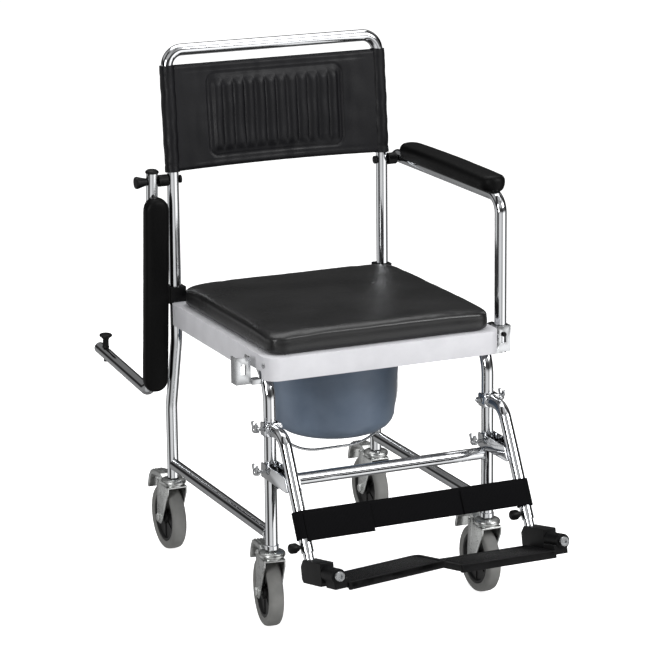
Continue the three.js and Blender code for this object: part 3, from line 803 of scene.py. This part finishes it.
def seat_pad():
    shrink = Vector((4, 4, 0)) * MM
    low, high = CUSHION_LOW + shrink, CUSHION_HIGH - shrink - Vector((0, 0, 5)) * MM
    piece = rounded_block("cushion_pad", low, high, 30, 8, 4.5)
    pumped(piece, 4, 3.5)
    middle = (CUSHION_LOW + CUSHION_HIGH) / 2
    half = (CUSHION_HIGH - CUSHION_LOW) / 2
    for vertex in piece.data.vertices:
        point = vertex.co
        across, along = (point.x - middle.x) / half.x, (point.y - middle.y) / half.y
        up = min(1, max(0, (point.z - CUSHION_LOW.z) / (2 * half.z)))
        crown = (1 - across ** 4) * (1 - along ** 4)
        corner = step_up(abs(across) * abs(along), 0.55, 1.0)
        point.z -= up * corner * 5 * MM
        wrinkle = noise.noise(Vector((point.x * 9, point.y * 14, 3.1)))
        ripple = noise.noise(Vector((point.x * 30, point.y * 42, 7.7)))
        point.z += up * (crown * (2.2 + wrinkle * 1.5) + ripple * 0.25) * MM
        point.z = max(point.z, CUSHION_LOW.z + 0.2 * MM)
        rim = max(abs(across), abs(along))
        seam = math.exp(-((up - 0.60) / 0.07) ** 2) * step_up(rim, 0.9, 0.97)
        point.x -= math.copysign(seam * 2.2 * MM, across) * step_up(abs(across), 0.9, 0.97)
        point.y -= math.copysign(seam * 2.2 * MM, along) * step_up(abs(along), 0.9, 0.97)
    apply_modifier(piece, "SMOOTH", factor=0.5, iterations=3)
    apply_modifier(piece, "SUBSURF", levels=1, render_levels=1)
    return settle(piece, "cushion_pad", 80)


cushion = finished(seat_pad(), "seat_cushion", "cushion", "cushion_vinyl")


# %% [markdown]
# ## Pan and bail
# The pan is turned like a bucket, with a rounded foot, a slight taper and a flat flange. The bail
# is one bent wire that hooks into ears under the flange.

# %% Pan and bail
PAN_Y = 205


def pan():
    body = turned("pan_bucket", [
        (2, 290), (76, 290), (84, 291.5), (92, 294.5), (102, 301), (108.5, 309), (112, 318), (115, 350),
        (118, 385), (121, 420), (123.4, 452), (124.6, 458), (127, 459.8),
        (144, 460), (145, 461), (145, 463), (144, 464), (124, 464), (121, 462), (118, 440), (109.5, 320),
        (105, 309), (98, 302), (79, 293), (2, 293)], place(0, PAN_Y, 0), sides=72)
    ears = [slab("ear", (side * 124.8 - 1.6, PAN_Y - 10, 442), (side * 124.8 + 1.6, PAN_Y + 10, 459), 1.5)
            for side in SIDES.values()]
    return joined("pan_bucket", body, *ears)


def bail():
    half, low = 128.5, 251
    return bent("pan_wire_handle", [
        (-half, PAN_Y, 451), (-half, PAN_Y, low, 100), (half, PAN_Y, low, 100), (half, PAN_Y, 451)],
        2.5, 0, 14, 5)


finished(pan(), "pan", "pan", "pan_plastic")
finished(bail(), "pan_bail", "bail", "steel")

# %% [markdown]
# ## Back
# The back is two sheets of vinyl stitched over a ribbed foam panel, with a sleeve at each side
# that slides down over the upright. The panel starts as a fine grid. Its points are moved out into
# twelve rounded channels inside a stitched border, and the loose cloth between panel and sleeve is
# drawn into shallow folds. The sheet then gets its thickness, and the far face is laid flat.

# %% Relief of the back
SLING_LOW, SLING_HIGH, HEM = 1.0, 196.5, 13
CHANNELS = 12


def leaned(x, y, height):
    """A point on the reclined back: across, forward or back, and up the uprights."""
    return place(
        x,
        UPRIGHT_Y + y * math.cos(RECLINE) + height * math.sin(RECLINE),
        RECLINE_Z - y * math.sin(RECLINE) + height * math.cos(RECLINE))


def ridge(value, centre, width):
    """A smooth ridge, 1 high at its centre."""
    return math.exp(-((value - centre) / width) ** 2)


def channel_relief(x, height):
    """How far the ribbed panel stands out, in millimetres, with a groove along its border."""
    left, right, bottom, top, corner = -137, 131, 21, 175, 18
    middle_x, middle_z = (left + right) / 2, (bottom + top) / 2
    out_x = abs(x - middle_x) - (right - left) / 2 + corner
    out_z = abs(height - middle_z) - (top - bottom) / 2 + corner
    outside = math.hypot(max(out_x, 0), max(out_z, 0)) + min(max(out_x, out_z), 0) - corner
    pitch = (right - left - 14) / CHANNELS
    rib = abs(math.sin(math.pi * (x - left - 7) / pitch)) ** 0.55
    inside = step_up(-outside, 3, 14)
    ends = step_up(min(height - bottom, top - height), 6, 24)
    return inside * (1.4 + 4.4 * rib * ends) - 2.2 * ridge(outside, 0, 2.2)


def front_facing(piece):
    return piece.data.polygons[len(piece.data.polygons) // 2].normal.y < 0


# %% [markdown]
# The grid is far finer across than up, because the ribs stand upright. Solidify has to thicken the
# sheet backwards, so the script looks which way its faces point before it picks the side.

# %% Ribbed panel
def sling_panel():
    columns, rows = 400, 76
    start()
    bpy.ops.mesh.primitive_grid_add(
        x_subdivisions=columns, y_subdivisions=rows, size=2, rotation=(math.pi / 2, 0, 0))
    piece = settle(bpy.context.object, "back_panel")
    for vertex in piece.data.vertices:
        across, up = vertex.co.x, (vertex.co.z + 1) / 2
        x, height = across * (TRACK - 3), SLING_LOW + up * (SLING_HIGH - SLING_LOW)
        slack = 1 - step_up(abs(x), 150, 200)
        fold = noise.noise(Vector((x * 0.011, height * 0.03, 2.0)))
        crease = noise.noise(Vector((x * 0.05, height * 0.012, 9.0)))
        hem = ridge(height, SLING_LOW + HEM, 1.6) + ridge(height, SLING_HIGH - HEM, 1.6)
        lift = channel_relief(x, height) + fold * 1.6 + crease * 1.1 - hem * 0.9
        edge = step_up(min(height - SLING_LOW, SLING_HIGH - height), 0, 5)
        sag = (1 - (x / TRACK) ** 2) * 4.0 * (1 - step_up(height, 20, 90))
        vertex.co = leaned(x, -3 - edge * 5.5 - lift * slack, height + sag)
    count = len(piece.data.vertices)
    apply_modifier(piece, "SOLIDIFY", thickness=4 * MM, offset=-1 if front_facing(piece) else 1)
    lean_back = Vector((0, math.cos(RECLINE), -math.sin(RECLINE)))
    anchor = place(0, UPRIGHT_Y, RECLINE_Z)
    for vertex in piece.data.vertices[count:]:
        depth = (vertex.co - anchor).dot(lean_back)
        wave = noise.noise(vertex.co * 12) * 1.2 * MM
        vertex.co += lean_back * (3.0 * MM + wave - depth)
    tidy(piece)
    return settle(piece, "back_panel", 60)


# %% [markdown]
# Each sleeve is a thin turned tube, open at both ends. Its rings are close enough together for the
# cloth to gather, and two shallow rings mark its hems.

# %% Sleeves
def sleeve(name, side):
    """The tunnel of cloth round an upright, gathered a little where it is sewn to the panel."""
    axis = (leaned(0, 0, 1) - leaned(0, 0, 0)).normalized()
    heights = [SLING_LOW + 0.2 + (SLING_HIGH - SLING_LOW - 0.6) * number / 60 for number in range(61)]
    piece = turned(name, [(14.2, height) for height in heights], leaned(side * TRACK, 0, 0), axis, 48)
    edit(piece)
    select_only(piece, "FACE", lambda face: len(face.verts) > 4)
    bpy.ops.mesh.delete(type="FACE")
    bpy.ops.object.mode_set(mode="OBJECT")
    base = leaned(side * TRACK, 0, 0)
    for vertex in piece.data.vertices:
        along = (vertex.co - base).dot(axis) / MM
        out = vertex.co - base - axis * along * MM
        wrinkle = noise.noise(Vector((out.x * 60, out.y * 60, along * 0.045)))
        hem = ridge(along, 14, 1.6) + ridge(along, 178, 1.6)
        out = out.normalized() * (14.0 + wrinkle * 1.1 - 0.7 * hem) * MM
        vertex.co = base + axis * along * MM + out
    apply_modifier(piece, "SOLIDIFY", thickness=1.2 * MM, offset=-1)
    return settle(piece, name, 70)


sleeves = [sleeve(f"{name}_sleeve", side) for name, side in SIDES.items()]
sling = joined("back_sling", sling_panel(), *sleeves)
finished(sling, "backrest_sling", "root", "sling_vinyl")

# %% [markdown]
# ## Footrest hangers
# Each hanger is a bent tube with its top end pressed into a saddle round the leg. A folded steel
# channel ties it to the leg below. Wing screws clamp both, and a knob at the bottom holds the
# sliding tube.

# %% Hangers
HANGER_TOP_Z, BRACKET_Z, SLIDER_OUT = 369, 292, 24
HANGER_LEAN = math.radians(28.5)
HANGER_END = (-157.7, 190)
DOWN = Vector((0, -math.sin(HANGER_LEAN), -math.cos(HANGER_LEAN)))


def hanger_y(z):
    return HANGER_END[0] + (z - HANGER_END[1]) * math.tan(HANGER_LEAN)


def hanger(name, x):
    tube = bent("tube", [
        (x, -14, HANGER_TOP_Z), (x, hanger_y(HANGER_TOP_Z), HANGER_TOP_Z, 35), (x, *HANGER_END)])
    low, high = BRACKET_Z - 11, BRACKET_Z + 15
    front = hanger_y((low + high) / 2)
    saddle_outline = [(-17, 357), (9, 357), (9, 381), (-17, 381)]
    channel_outline = [(front - 3, low), (9, low), (9, high), (front + 10, high)]
    parts = [tube]
    for side in SIDES.values():
        inner, outer = sorted((side * 11.7, side * 14.5))
        for outline, rounding in ((saddle_outline, 5), (channel_outline, 3)):
            wall = pressed("wall", outline, inner, outer, rounding, 0.4)
            wall.data.transform(Matrix.Translation(place(x, 0, 0)))
            parts.append(wall)
    parts.append(slab("bridge", (x - 13, -16.6, 357.5), (x + 13, -12.2, 380.5), 1.2))
    parts.append(slab("web", (x - 13, front, low), (x + 13, -13.2, low + 2.4), 0.6))
    parts.append(bead("weld", x, -17, HANGER_TOP_Z, (0, 1, 0), TUBE_R, 1.3))
    return joined(name, *parts)


# %% [markdown]
# A wing screw is turned except for its wings, which are pressed from a flat outline. The upper
# ones point outwards on each side, and the lower ones both point to the sitter's right.

# %% Screws and sliding tubes
def wing_screw(name, x, z, turned_round):
    side = -1 if turned_round else 1
    axis = (side, 0, 0)
    base = place(x, 0, z)
    shaft = turned("shaft", [(2.4, -23), (3, -22.4), (3, 26)], base, axis, 20)
    nut = turned("nut", [(6, -21), (6, -15.5)], base, axis, 6, 0.5)
    collar = turned("collar", [(5.5, 21.5), (6.4, 22), (6.4, 26), (5, 31), (4, 32.4)], base, axis, 24, 0.3)
    wings = pressed("wings", [
        (-2.5, -5.5), (2.5, -5.5), (11, 8), (12, 12), (8.5, 14.5), (4.5, 13), (2, 7), (-2, 7), (-4.5, 13),
        (-8.5, 14.5), (-12, 12), (-11, 8)], 26.8, 30.8, 1.2, 0.8)
    wings.data.transform(Matrix.Rotation(math.pi if side < 0 else 0, 4, "Z"))
    wings.data.transform(Matrix.Translation(base))
    return joined(name, shaft, nut, collar, wings)


def height_knob(name, x):
    z = HANGER_END[1] + 9
    return turned(name, [
        (3, 9.8), (3, 13.5), (5.5, 14), (6, 16), (8.6, 19), (9, 21), (9, 28), (8.4, 30.5), (6, 32.6),
        (1, 33)],
        place(x, hanger_y(z), z), (-1, 0, 0), 14, 0.4)


def slider(name, x):
    end = Vector((0, *HANGER_END))
    top, tip = end - 62 * DOWN, end + SLIDER_OUT * DOWN
    return bent(name, [(x, top.y, top.z), (x, tip.y, tip.z)], 8.8, 1.6, 36)


for name, side in SIDES.items():
    x = side * TRACK
    finished(hanger(f"{name}_hanger_tube", x), f"{name}_hanger", "root", "chrome_tube")
    upper = wing_screw(f"{name}_upper_wing", x, HANGER_TOP_Z, side < 0)
    finished(upper, f"{name}_upper_wing_screw", "root", "steel")
    lower = wing_screw(f"{name}_lower_wing", x, BRACKET_Z, True)
    finished(lower, f"{name}_lower_wing_screw", "root", "steel")
    knob = height_knob(f"{name}_height_screw", x)
    finished(knob, f"{name}_height_knob", "root", "black_plastic")
    inner = slider(f"{name}_sliding_tube", x)
    finished(inner, f"{name}_footrest_slider", f"{name}_footrest", "chrome_tube")

# %% [markdown]
# ## Footplates
# Each plate is a ribbed moulding with a turned-down front lip, hinged on a pin through its pivot
# block. It is modelled flat in the block's own frame, with x inward, y back and z up, and then
# tilted into place with the block. The tread's ribs stop short of the edges.

# %% Tread of a footplate
PLATE_TILT = math.radians(12)
PLATE_LIFT = {-1: math.radians(4), 1: 0.0}
HINGE_Z = -6.5
PLATE_TOP = HINGE_Z - 14
PLATE_NEAR, PLATE_FAR, PLATE_FRONT, PLATE_BACK = 15, 197, -121, -6


def footrest_place(side):
    tip = Vector((side * TRACK, *HANGER_END)) + SLIDER_OUT * DOWN
    return Matrix.Translation(place(tip.x, tip.y + 0.5, tip.z)) @ Matrix.Rotation(-PLATE_TILT, 4, "X")


def local_slab(low, high, edge=0.8, segments=2):
    piece = slab("part", low, high, edge, segments)
    piece.data.transform(Matrix.Translation((0, -front_stem.y * MM, 0)))
    return piece


def plate_board(inward):
    """The tread, with a raised border, its wide faces divided so that they shade evenly."""
    corners = [
        (PLATE_NEAR, PLATE_FRONT), (PLATE_FAR, PLATE_FRONT), (PLATE_FAR, PLATE_BACK - 8),
        (PLATE_FAR - 8, PLATE_BACK), (PLATE_NEAR, PLATE_BACK)]
    board = blank([(inward * u, v, PLATE_TOP - 8) for u, v in corners], 5, 4)
    pull((0, 0, 8 * MM))
    tidy(board)
    edit(board)
    select_only(board, "FACE", lambda face: face.normal.z > 0.9)
    bpy.ops.mesh.inset(thickness=7 * MM)
    pull((0, 0, -0.9 * MM))
    bpy.ops.object.mode_set(mode="OBJECT")
    bevel(board, 1.4, 3, 40)
    cuts = [(inward * (PLATE_NEAR + 15.2 * number), 0, (1, 0, 0)) for number in range(1, 12)]
    cuts += [(0, PLATE_FRONT + 14.4 * number, (0, 1, 0)) for number in range(1, 8)]
    edit(board)
    for u, v, facing in cuts:
        bpy.ops.mesh.select_all(action="SELECT")
        bpy.ops.mesh.bisect(plane_co=(u * MM, v * MM, 0), plane_no=facing)
    bpy.ops.object.mode_set(mode="OBJECT")
    return settle(board, "board")


# %% [markdown]
# The lip, the hinge lug and the ribs are blocks joined to the tread. They overlap it a little, so
# no gap shows where they meet. A boolean would merge them, but it spoils the small rounds.

# %% Whole plate and pin
def plate_piece(name, side):
    inward = -side

    def across(near, far, y0, y1, z0, z1, edge=0.8):
        x0, x1 = sorted((inward * near, inward * far))
        return local_slab((x0, y0, z0), (x1, y1, z1), edge)

    parts = [
        plate_board(inward),
        across(PLATE_NEAR, PLATE_FAR, PLATE_FRONT, PLATE_FRONT + 7, PLATE_TOP - 13, PLATE_TOP + 0.6, 1.8),
        across(-9, 18, -117, -78, PLATE_TOP - 8, HINGE_Z - 5, 1.4),
        turned("barrel", [(5.4, 0), (12.4, 0), (13, 0.8), (13, 45.2), (12.4, 46), (5.4, 46), (5.4, 0)],
               Vector((0, -119, HINGE_Z)) * MM, (0, 1, 0), 40)]
    for number in range(24):
        v = -106 + number * 3.9
        parts.append(across(27, 184, v, v + 2.0, PLATE_TOP - 1.4, PLATE_TOP - 0.35, 0.3))
    for near in (22, 192):
        parts.append(across(near - 2, near + 2, -112, -12, PLATE_TOP - 12, PLATE_TOP - 7))
    piece = joined(name, *parts)
    lift = Matrix.Rotation(side * PLATE_LIFT[side], 4, "Y")
    piece.data.transform(footrest_place(side) @ about(Vector((0, 0, HINGE_Z)) * MM, lift))
    return piece


def pin_piece(name, side):
    base = Vector((0, 0, HINGE_Z)) * MM
    shaft = turned("shaft", [(4.8, 54), (4.8, 121)], base, (0, -1, 0), 24)
    head = turned("head", [(8.0, 119.4), (8.5, 120), (8.5, 125), (7.9, 126), (4.2, 126), (4.2, 122.6)],
                  base, (0, -1, 0), 32)
    piece = joined(name, shaft, head)
    piece.data.transform(footrest_place(side))
    return piece


for name, side in SIDES.items():
    block = softened(f"{name}_pivot_block", f"{name}_footrest_block", 2.4, 4)
    finished(block, f"{name}_pivot_block", f"{name}_footrest", "black_plastic")
    board = plate_piece(f"{name}_foot_board", side)
    finished(board, f"{name}_footplate", f"{name}_footplate", "black_plastic")
    pin = pin_piece(f"{name}_plate_pin", side)
    finished(pin, f"{name}_hinge_pin", f"{name}_footrest", "steel")

# %% [markdown]
# ## Calf strap
# The strap is one length of webbing. It runs across in front, turns round each hanger and is sewn
# back on itself. Straps are modelled directly, because a simulation would melt their flat edges.

# %% Strap
STRAP_WIDTH, STRAP_Z, LOOP_R = 48, 231, 13.4


def ribbon(name, route, low, high, thickness):
    """A ribbon standing on edge along a route of (x, y) points, in the strap's own frame."""
    start()
    bpy.ops.mesh.primitive_grid_add(x_subdivisions=len(route) - 1, y_subdivisions=8, size=2)
    piece = bpy.context.object
    for vertex in piece.data.vertices:
        index = round((vertex.co.x + 1) / 2 * (len(route) - 1))
        share = (vertex.co.y + 1) / 2
        x, y = route[index]
        sway = noise.noise(Vector((x * 0.02, share, 4))) * 0.5
        vertex.co = Vector((x, y + sway, low + share * (high - low))) * MM
    apply_modifier(piece, "SOLIDIFY", thickness=thickness * MM, offset=0)
    tidy(piece)
    bevel(piece, 0.35, 2, 50)
    piece.data.transform(
        Matrix.Translation(place(0, hanger_y(STRAP_Z), STRAP_Z)) @ Matrix.Rotation(-HANGER_LEAN, 4, "X"))
    return settle(piece, name, 50)


def calf_strap():
    half = STRAP_WIDTH / 2
    angles = [math.radians(degrees) for degrees in range(-90, 271, 12)]
    right_loop, left_loop = [
        [(side * TRACK + LOOP_R * math.cos(a), LOOP_R * math.sin(a)) for a in angles]
        for side in SIDES.values()]
    front = [
        (-TRACK + 2 * TRACK * n / 48, 0.2 - LOOP_R + 0.8 * math.sin(math.pi * n / 48))
        for n in range(49)]
    right_lap, left_lap = [
        [(side * (TRACK - 125 * n / 14), -15.0 + 0.25 * math.sin(n * 1.3)) for n in range(15)]
        for side in SIDES.values()]
    return joined(
        "calf_webbing",
        ribbon("front", front, -half, half, 1.8),
        ribbon("right_loop", right_loop, -half, half, 1.6),
        ribbon("left_loop", left_loop, -half, half, 1.6),
        ribbon("right_lap", right_lap, -half - 6, half - 6, 1.6),
        ribbon("left_lap", left_lap, -half, half - 6, 1.6))


finished(calf_strap(), "calf_strap", "root", "webbing")

# %% [markdown]
# ## Castors
# A castor has a pressed fork with a ball race on top, a wheel on a through bolt and a brake pedal
# over the tread. One is made at the left front leg and copied to the other three, and the right
# front one is turned about its stem as the frame holds it.

# %% Castor fork
WHEEL_R, TRAIL = 62.5, 28
STEM, AXLE, BRAKE_PIN = place(TRACK, 0, 0), place(TRACK, TRAIL, WHEEL_R), place(TRACK, 30, 135)


def fork():
    parts = [
        turned("race", [
            (8, 184), (8.4, 183), (8.4, 146.5), (12, 145.6), (19.5, 145.4), (22.5, 143.8), (24, 141.5),
            (24, 137.5), (22.6, 135.6), (19.6, 134.6), (19.4, 130)], STEM, sides=44),
        slab("crown", (TRACK - 20, -20, 129.5), (TRACK + 20, 21, 133), 1.2)]
    outline = [
        (-20, 133), (-20, 122), (TRAIL - 14, WHEEL_R - 3), (TRAIL - 6, WHEEL_R - 12),
        (TRAIL + 7, WHEEL_R - 11), (TRAIL + 13, WHEEL_R - 2), (37, 124), (37, 138), (24, 142), (17, 133)]
    for side in SIDES.values():
        low, high = sorted((side * 17, side * 19.8))
        wall = pressed("wall", outline, low, high, 3, 0.6)
        wall.data.transform(Matrix.Translation(STEM))
        out = (side, 0, 0)
        parts += [
            wall,
            turned("nut", [(8.4, 19.6), (8.4, 24.4)], AXLE, out, 6, 0.6),
            turned("washer", [(10.4, 19.4), (10.4, 20.8)], AXLE, out, 32, 0.3),
            turned("rivet", [(4.6, 19.4), (4.6, 20.6), (3, 22), (1, 22.4)], BRAKE_PIN, out, 20)]
    parts.append(turned("bolt", [(5.6, -19), (5.6, 19)], AXLE, (1, 0, 0), 20))
    parts.append(turned("pin", [(2.8, -19), (2.8, 19)], BRAKE_PIN, (1, 0, 0), 16))
    return joined("left_front_castor_yoke", *parts)


# %% [markdown]
# The tyre and the hub are half profiles, mirrored so that both faces of the wheel match. Six
# spokes stiffen the hub, one block turned about the axle. The pedal is a bent strip over the tyre.

# %% Wheel and brake pedal
def tyre():
    tread = [(47.2, -11.6), (50, -12.4), (55, -13.4), (58.6, -12.9), (61, -11), (62.2, -7.6), (62.5, -3)]
    profile = tread + [(r, -h) for r, h in tread[::-1]] + [tread[0]]
    return turned("left_front_castor_rubber", profile, AXLE, (1, 0, 0), 72)


def hub():
    half = [
        (6.6, -13.2), (12.2, -13.2), (13.4, -12.4), (14.6, -7.4), (16, -6.8), (38, -6.8), (39.6, -7.4),
        (41.4, -10.6), (42.6, -11.2), (45.6, -11.2), (46.4, -10.4)]
    profile = half + [(r, -h) for r, h in half[::-1]] + [half[0]]
    body = turned("left_front_castor_centre", profile, AXLE, (1, 0, 0), 72)
    spokes = []
    for number in range(6):
        low = (TRACK - 8.6, TRAIL - 1.6, WHEEL_R + 14)
        high = (TRACK + 8.6, TRAIL + 1.6, WHEEL_R + 40)
        spoke = slab("spoke", low, high, 0.8)
        spoke.data.transform(about(AXLE, Matrix.Rotation(math.tau * number / 6, 4, "X")))
        spokes.append(spoke)
    return joined("left_front_castor_centre", body, *spokes)


def pedal():
    outline = [
        (24, 131), (36, 129), (44, 137), (82, 133), (94, 122), (100, 101), (105, 101), (106, 106),
        (99, 126), (87, 140), (60, 145), (36, 146), (25, 140)]
    blade = pressed("blade", outline, -13, 13, 2.2, 0.8)
    rib_outline = [(50, 143.5), (88, 137.5), (92, 136), (88, 141.2), (60, 146.6), (48, 146.4)]
    ribs = [pressed("rib", rib_outline, x - 0.9, x + 0.9, 0, 0.4) for x in (-8, -2.7, 2.7, 8)]
    piece = joined("left_front_castor_pedal", blade, *ribs)
    piece.data.transform(Matrix.Translation(STEM))
    return piece


# %% [markdown]
# Each copy gets its own mesh, because every corner belongs to a different moving body. The copies
# are moved with their stem, and only the right front one is turned about it.

# %% Four castors
castor_parts = [
    (fork(), "yoke", "fork", "swivel", "zinc"),
    (tyre(), "rubber", "tyre", "wheel", "tyre_rubber"),
    (hub(), "centre", "hub", "wheel", "hub_plastic"),
    (pedal(), "pedal", "brake_lever", "brake", "zinc")]
heading = Vector(joints["right_front_castor_wheel_spin"]["axis"])
straight = Matrix.Identity(4)
corners = {
    "right_front": (-TRACK, 0, Matrix.Rotation(math.atan2(heading.y, heading.x), 4, "Z")),
    "right_rear": (-TRACK, WHEEL_BASE, straight),
    "left_rear": (TRACK, WHEEL_BASE, straight)}
for piece, part, node, body, slot in castor_parts:
    for corner, (x, y, turn) in corners.items():
        move = Matrix.Translation(place(x, y, 0)) @ turn @ Matrix.Translation(-STEM)
        twin = copied(piece, f"{corner}_castor_{part}", move)
        finished(twin, f"{corner}_castor_{node}", f"{corner}_castor_{body}", slot)
    finished(piece, f"left_front_castor_{node}", f"left_front_castor_{body}", slot)

# %% [markdown]
# ## Studio
# The chair stands on a flat pale floor that glows a little, so it fades into the white behind. The
# chrome and the undersides don't see that glow, because it would fill their shadows.

# %% Floor
def make_floor():
    finish = Finish("studio_floor")
    tone = finish.noise(3, 4)
    return finish.set(
        Base_Color=finish.blend(tone, (0.82, 0.82, 0.82, 1), (0.86, 0.86, 0.86, 1)),
        Roughness=finish.span(tone, 0.0, 1.0, 0.7, 0.85),
        Emission_Color=(1, 1, 1, 1),
        Emission_Strength=0.85)


start()
bpy.ops.mesh.primitive_grid_add(x_subdivisions=20, y_subdivisions=20, size=14, location=(0, 0, -0.0005))
floor = settle(bpy.context.object, "studio_floor")
floor.data.materials.append(make_floor())
floor.visible_glossy = floor.visible_diffuse = False
print("floor is", round(floor.dimensions.x, 1), "m wide")

# %% [markdown]
# Chrome only shows what is round it, so the sky is a studio: bright above, with dark flags near
# eye level that draw the thin dark lines along the tubes. One ramp sets the light round the chair
# and another from floor to roof, and the two are multiplied. The camera sees plain white instead.

# %% Sky
def make_sky():
    world = bpy.data.worlds.new("studio")
    bpy.context.scene.world = world
    world.use_nodes = True
    tree = world.node_tree
    sky = Finish("sky", tree)
    direction = sky.node("ShaderNodeTexCoord", output="Generated")
    axis = {name: sky.node("ShaderNodeSeparateXYZ", sockets={0: direction}, output=name) for name in "XYZ"}
    turn = sky.node("ShaderNodeMath", {"operation": "ARCTAN2"}, {0: axis["Y"], 1: axis["X"]})
    heights = [
        (-1.0, 0.55), (-0.5, 0.75), (-0.36, 1.0), (-0.1, 1.0), (0.0, 0.55), (0.06, 0.07), (0.30, 0.09),
        (0.40, 0.72), (0.70, 0.62), (0.78, 0.30), (0.86, 0.8), (1.0, 0.6)]
    by_height = sky.node("ShaderNodeValToRGB", {"stops": [
        ((height + 1) / 2, (level,) * 3) for height, level in heights]}, {0: axis["Z"] * 0.5 + 0.5})
    flags = [
        (-175, 0.30), (-128, 0.30), (-112, 0.85), (-82, 0.75), (-68, 0.04), (-44, 0.05), (-30, 0.85),
        (8, 0.95), (20, 0.40), (34, 0.70), (50, 1.9), (78, 1.7), (94, 0.06), (120, 0.07), (134, 0.40)]
    middle = -113.8
    around = sorted((((middle + offset + 180) / 360) % 1, (level,) * 3) for offset, level in flags)
    by_turn = sky.node("ShaderNodeValToRGB", {"stops": around}, {0: turn * (1 / math.tau) + 0.5})
    studio = sky.node("ShaderNodeMix", {"data_type": "RGBA", "blend_type": "MULTIPLY"}, {
        0: 1.0, 6: by_turn, 7: by_height}, 2)
    seen = sky.node("ShaderNodeLightPath", output="Is Camera Ray")
    shown = sky.blend(seen, studio, (1.05, 1.05, 1.05, 1))
    background = tree.nodes["Background"]
    tree.links.new(shown.socket, background.inputs["Color"])
    background.inputs["Strength"].default_value = 1.0


make_sky()
print("sky", bpy.context.scene.world.name)


# %% [markdown]
# Three soft boxes light the chair: a key from the front right, a weaker fill from the other side
# and a wide one overhead. They are large, so that the dark plastics get broad, soft highlights.

# %% Lights
def soft_box(name, location, target, size, power):
    start()
    bpy.ops.object.light_add(type="AREA", location=location)
    lamp = bpy.context.object
    lamp.name = name
    lamp.data.shape = "RECTANGLE"
    lamp.data.size, lamp.data.size_y = size
    lamp.data.energy = power
    lamp.rotation_euler = (Vector(target) - Vector(location)).to_track_quat("-Z", "Y").to_euler()


soft_box("key", (1.9, -2.6, 2.4), (0, 0, 0.5), (1.6, 1.2), 64)
soft_box("fill", (-2.6, -1.6, 1.4), (0, 0, 0.5), (0.8, 1.6), 38)
soft_box("top", (0.2, 0.6, 3.0), (0, 0, 0.4), (2.4, 2.0), 44)


# %% [markdown]
# The camera stands well back with a long lens, so the tubes stay nearly parallel. Its place is
# given in the chair's own millimetres, like everything else.

# %% Camera
def make_camera():
    yaw, pitch, roll = math.radians(-23.849), math.radians(14.318), math.radians(-0.640)
    back = Vector((math.sin(yaw) * math.cos(pitch), -math.cos(yaw) * math.cos(pitch), math.sin(pitch)))
    right = Vector((math.cos(yaw), math.sin(yaw), 0))
    up = back.cross(right)
    turned_right = right * math.cos(roll) + up * math.sin(roll)
    turned_up = up * math.cos(roll) - right * math.sin(roll)
    start()
    bpy.ops.object.camera_add()
    camera = bpy.context.object
    camera.data.sensor_width, camera.data.lens = 36, 165.24
    camera.data.clip_start, camera.data.clip_end = 0.1, 60
    camera.matrix_world = Matrix.Translation(place(-2127.2, -4575.6, 1817.4)) @ Matrix(
        (turned_right, turned_up, back)).transposed().to_4x4()
    bpy.context.scene.camera = camera


make_camera()
bpy.context.scene.view_settings.view_transform = "Standard"
print("lens", bpy.context.scene.camera.data.lens, "mm")
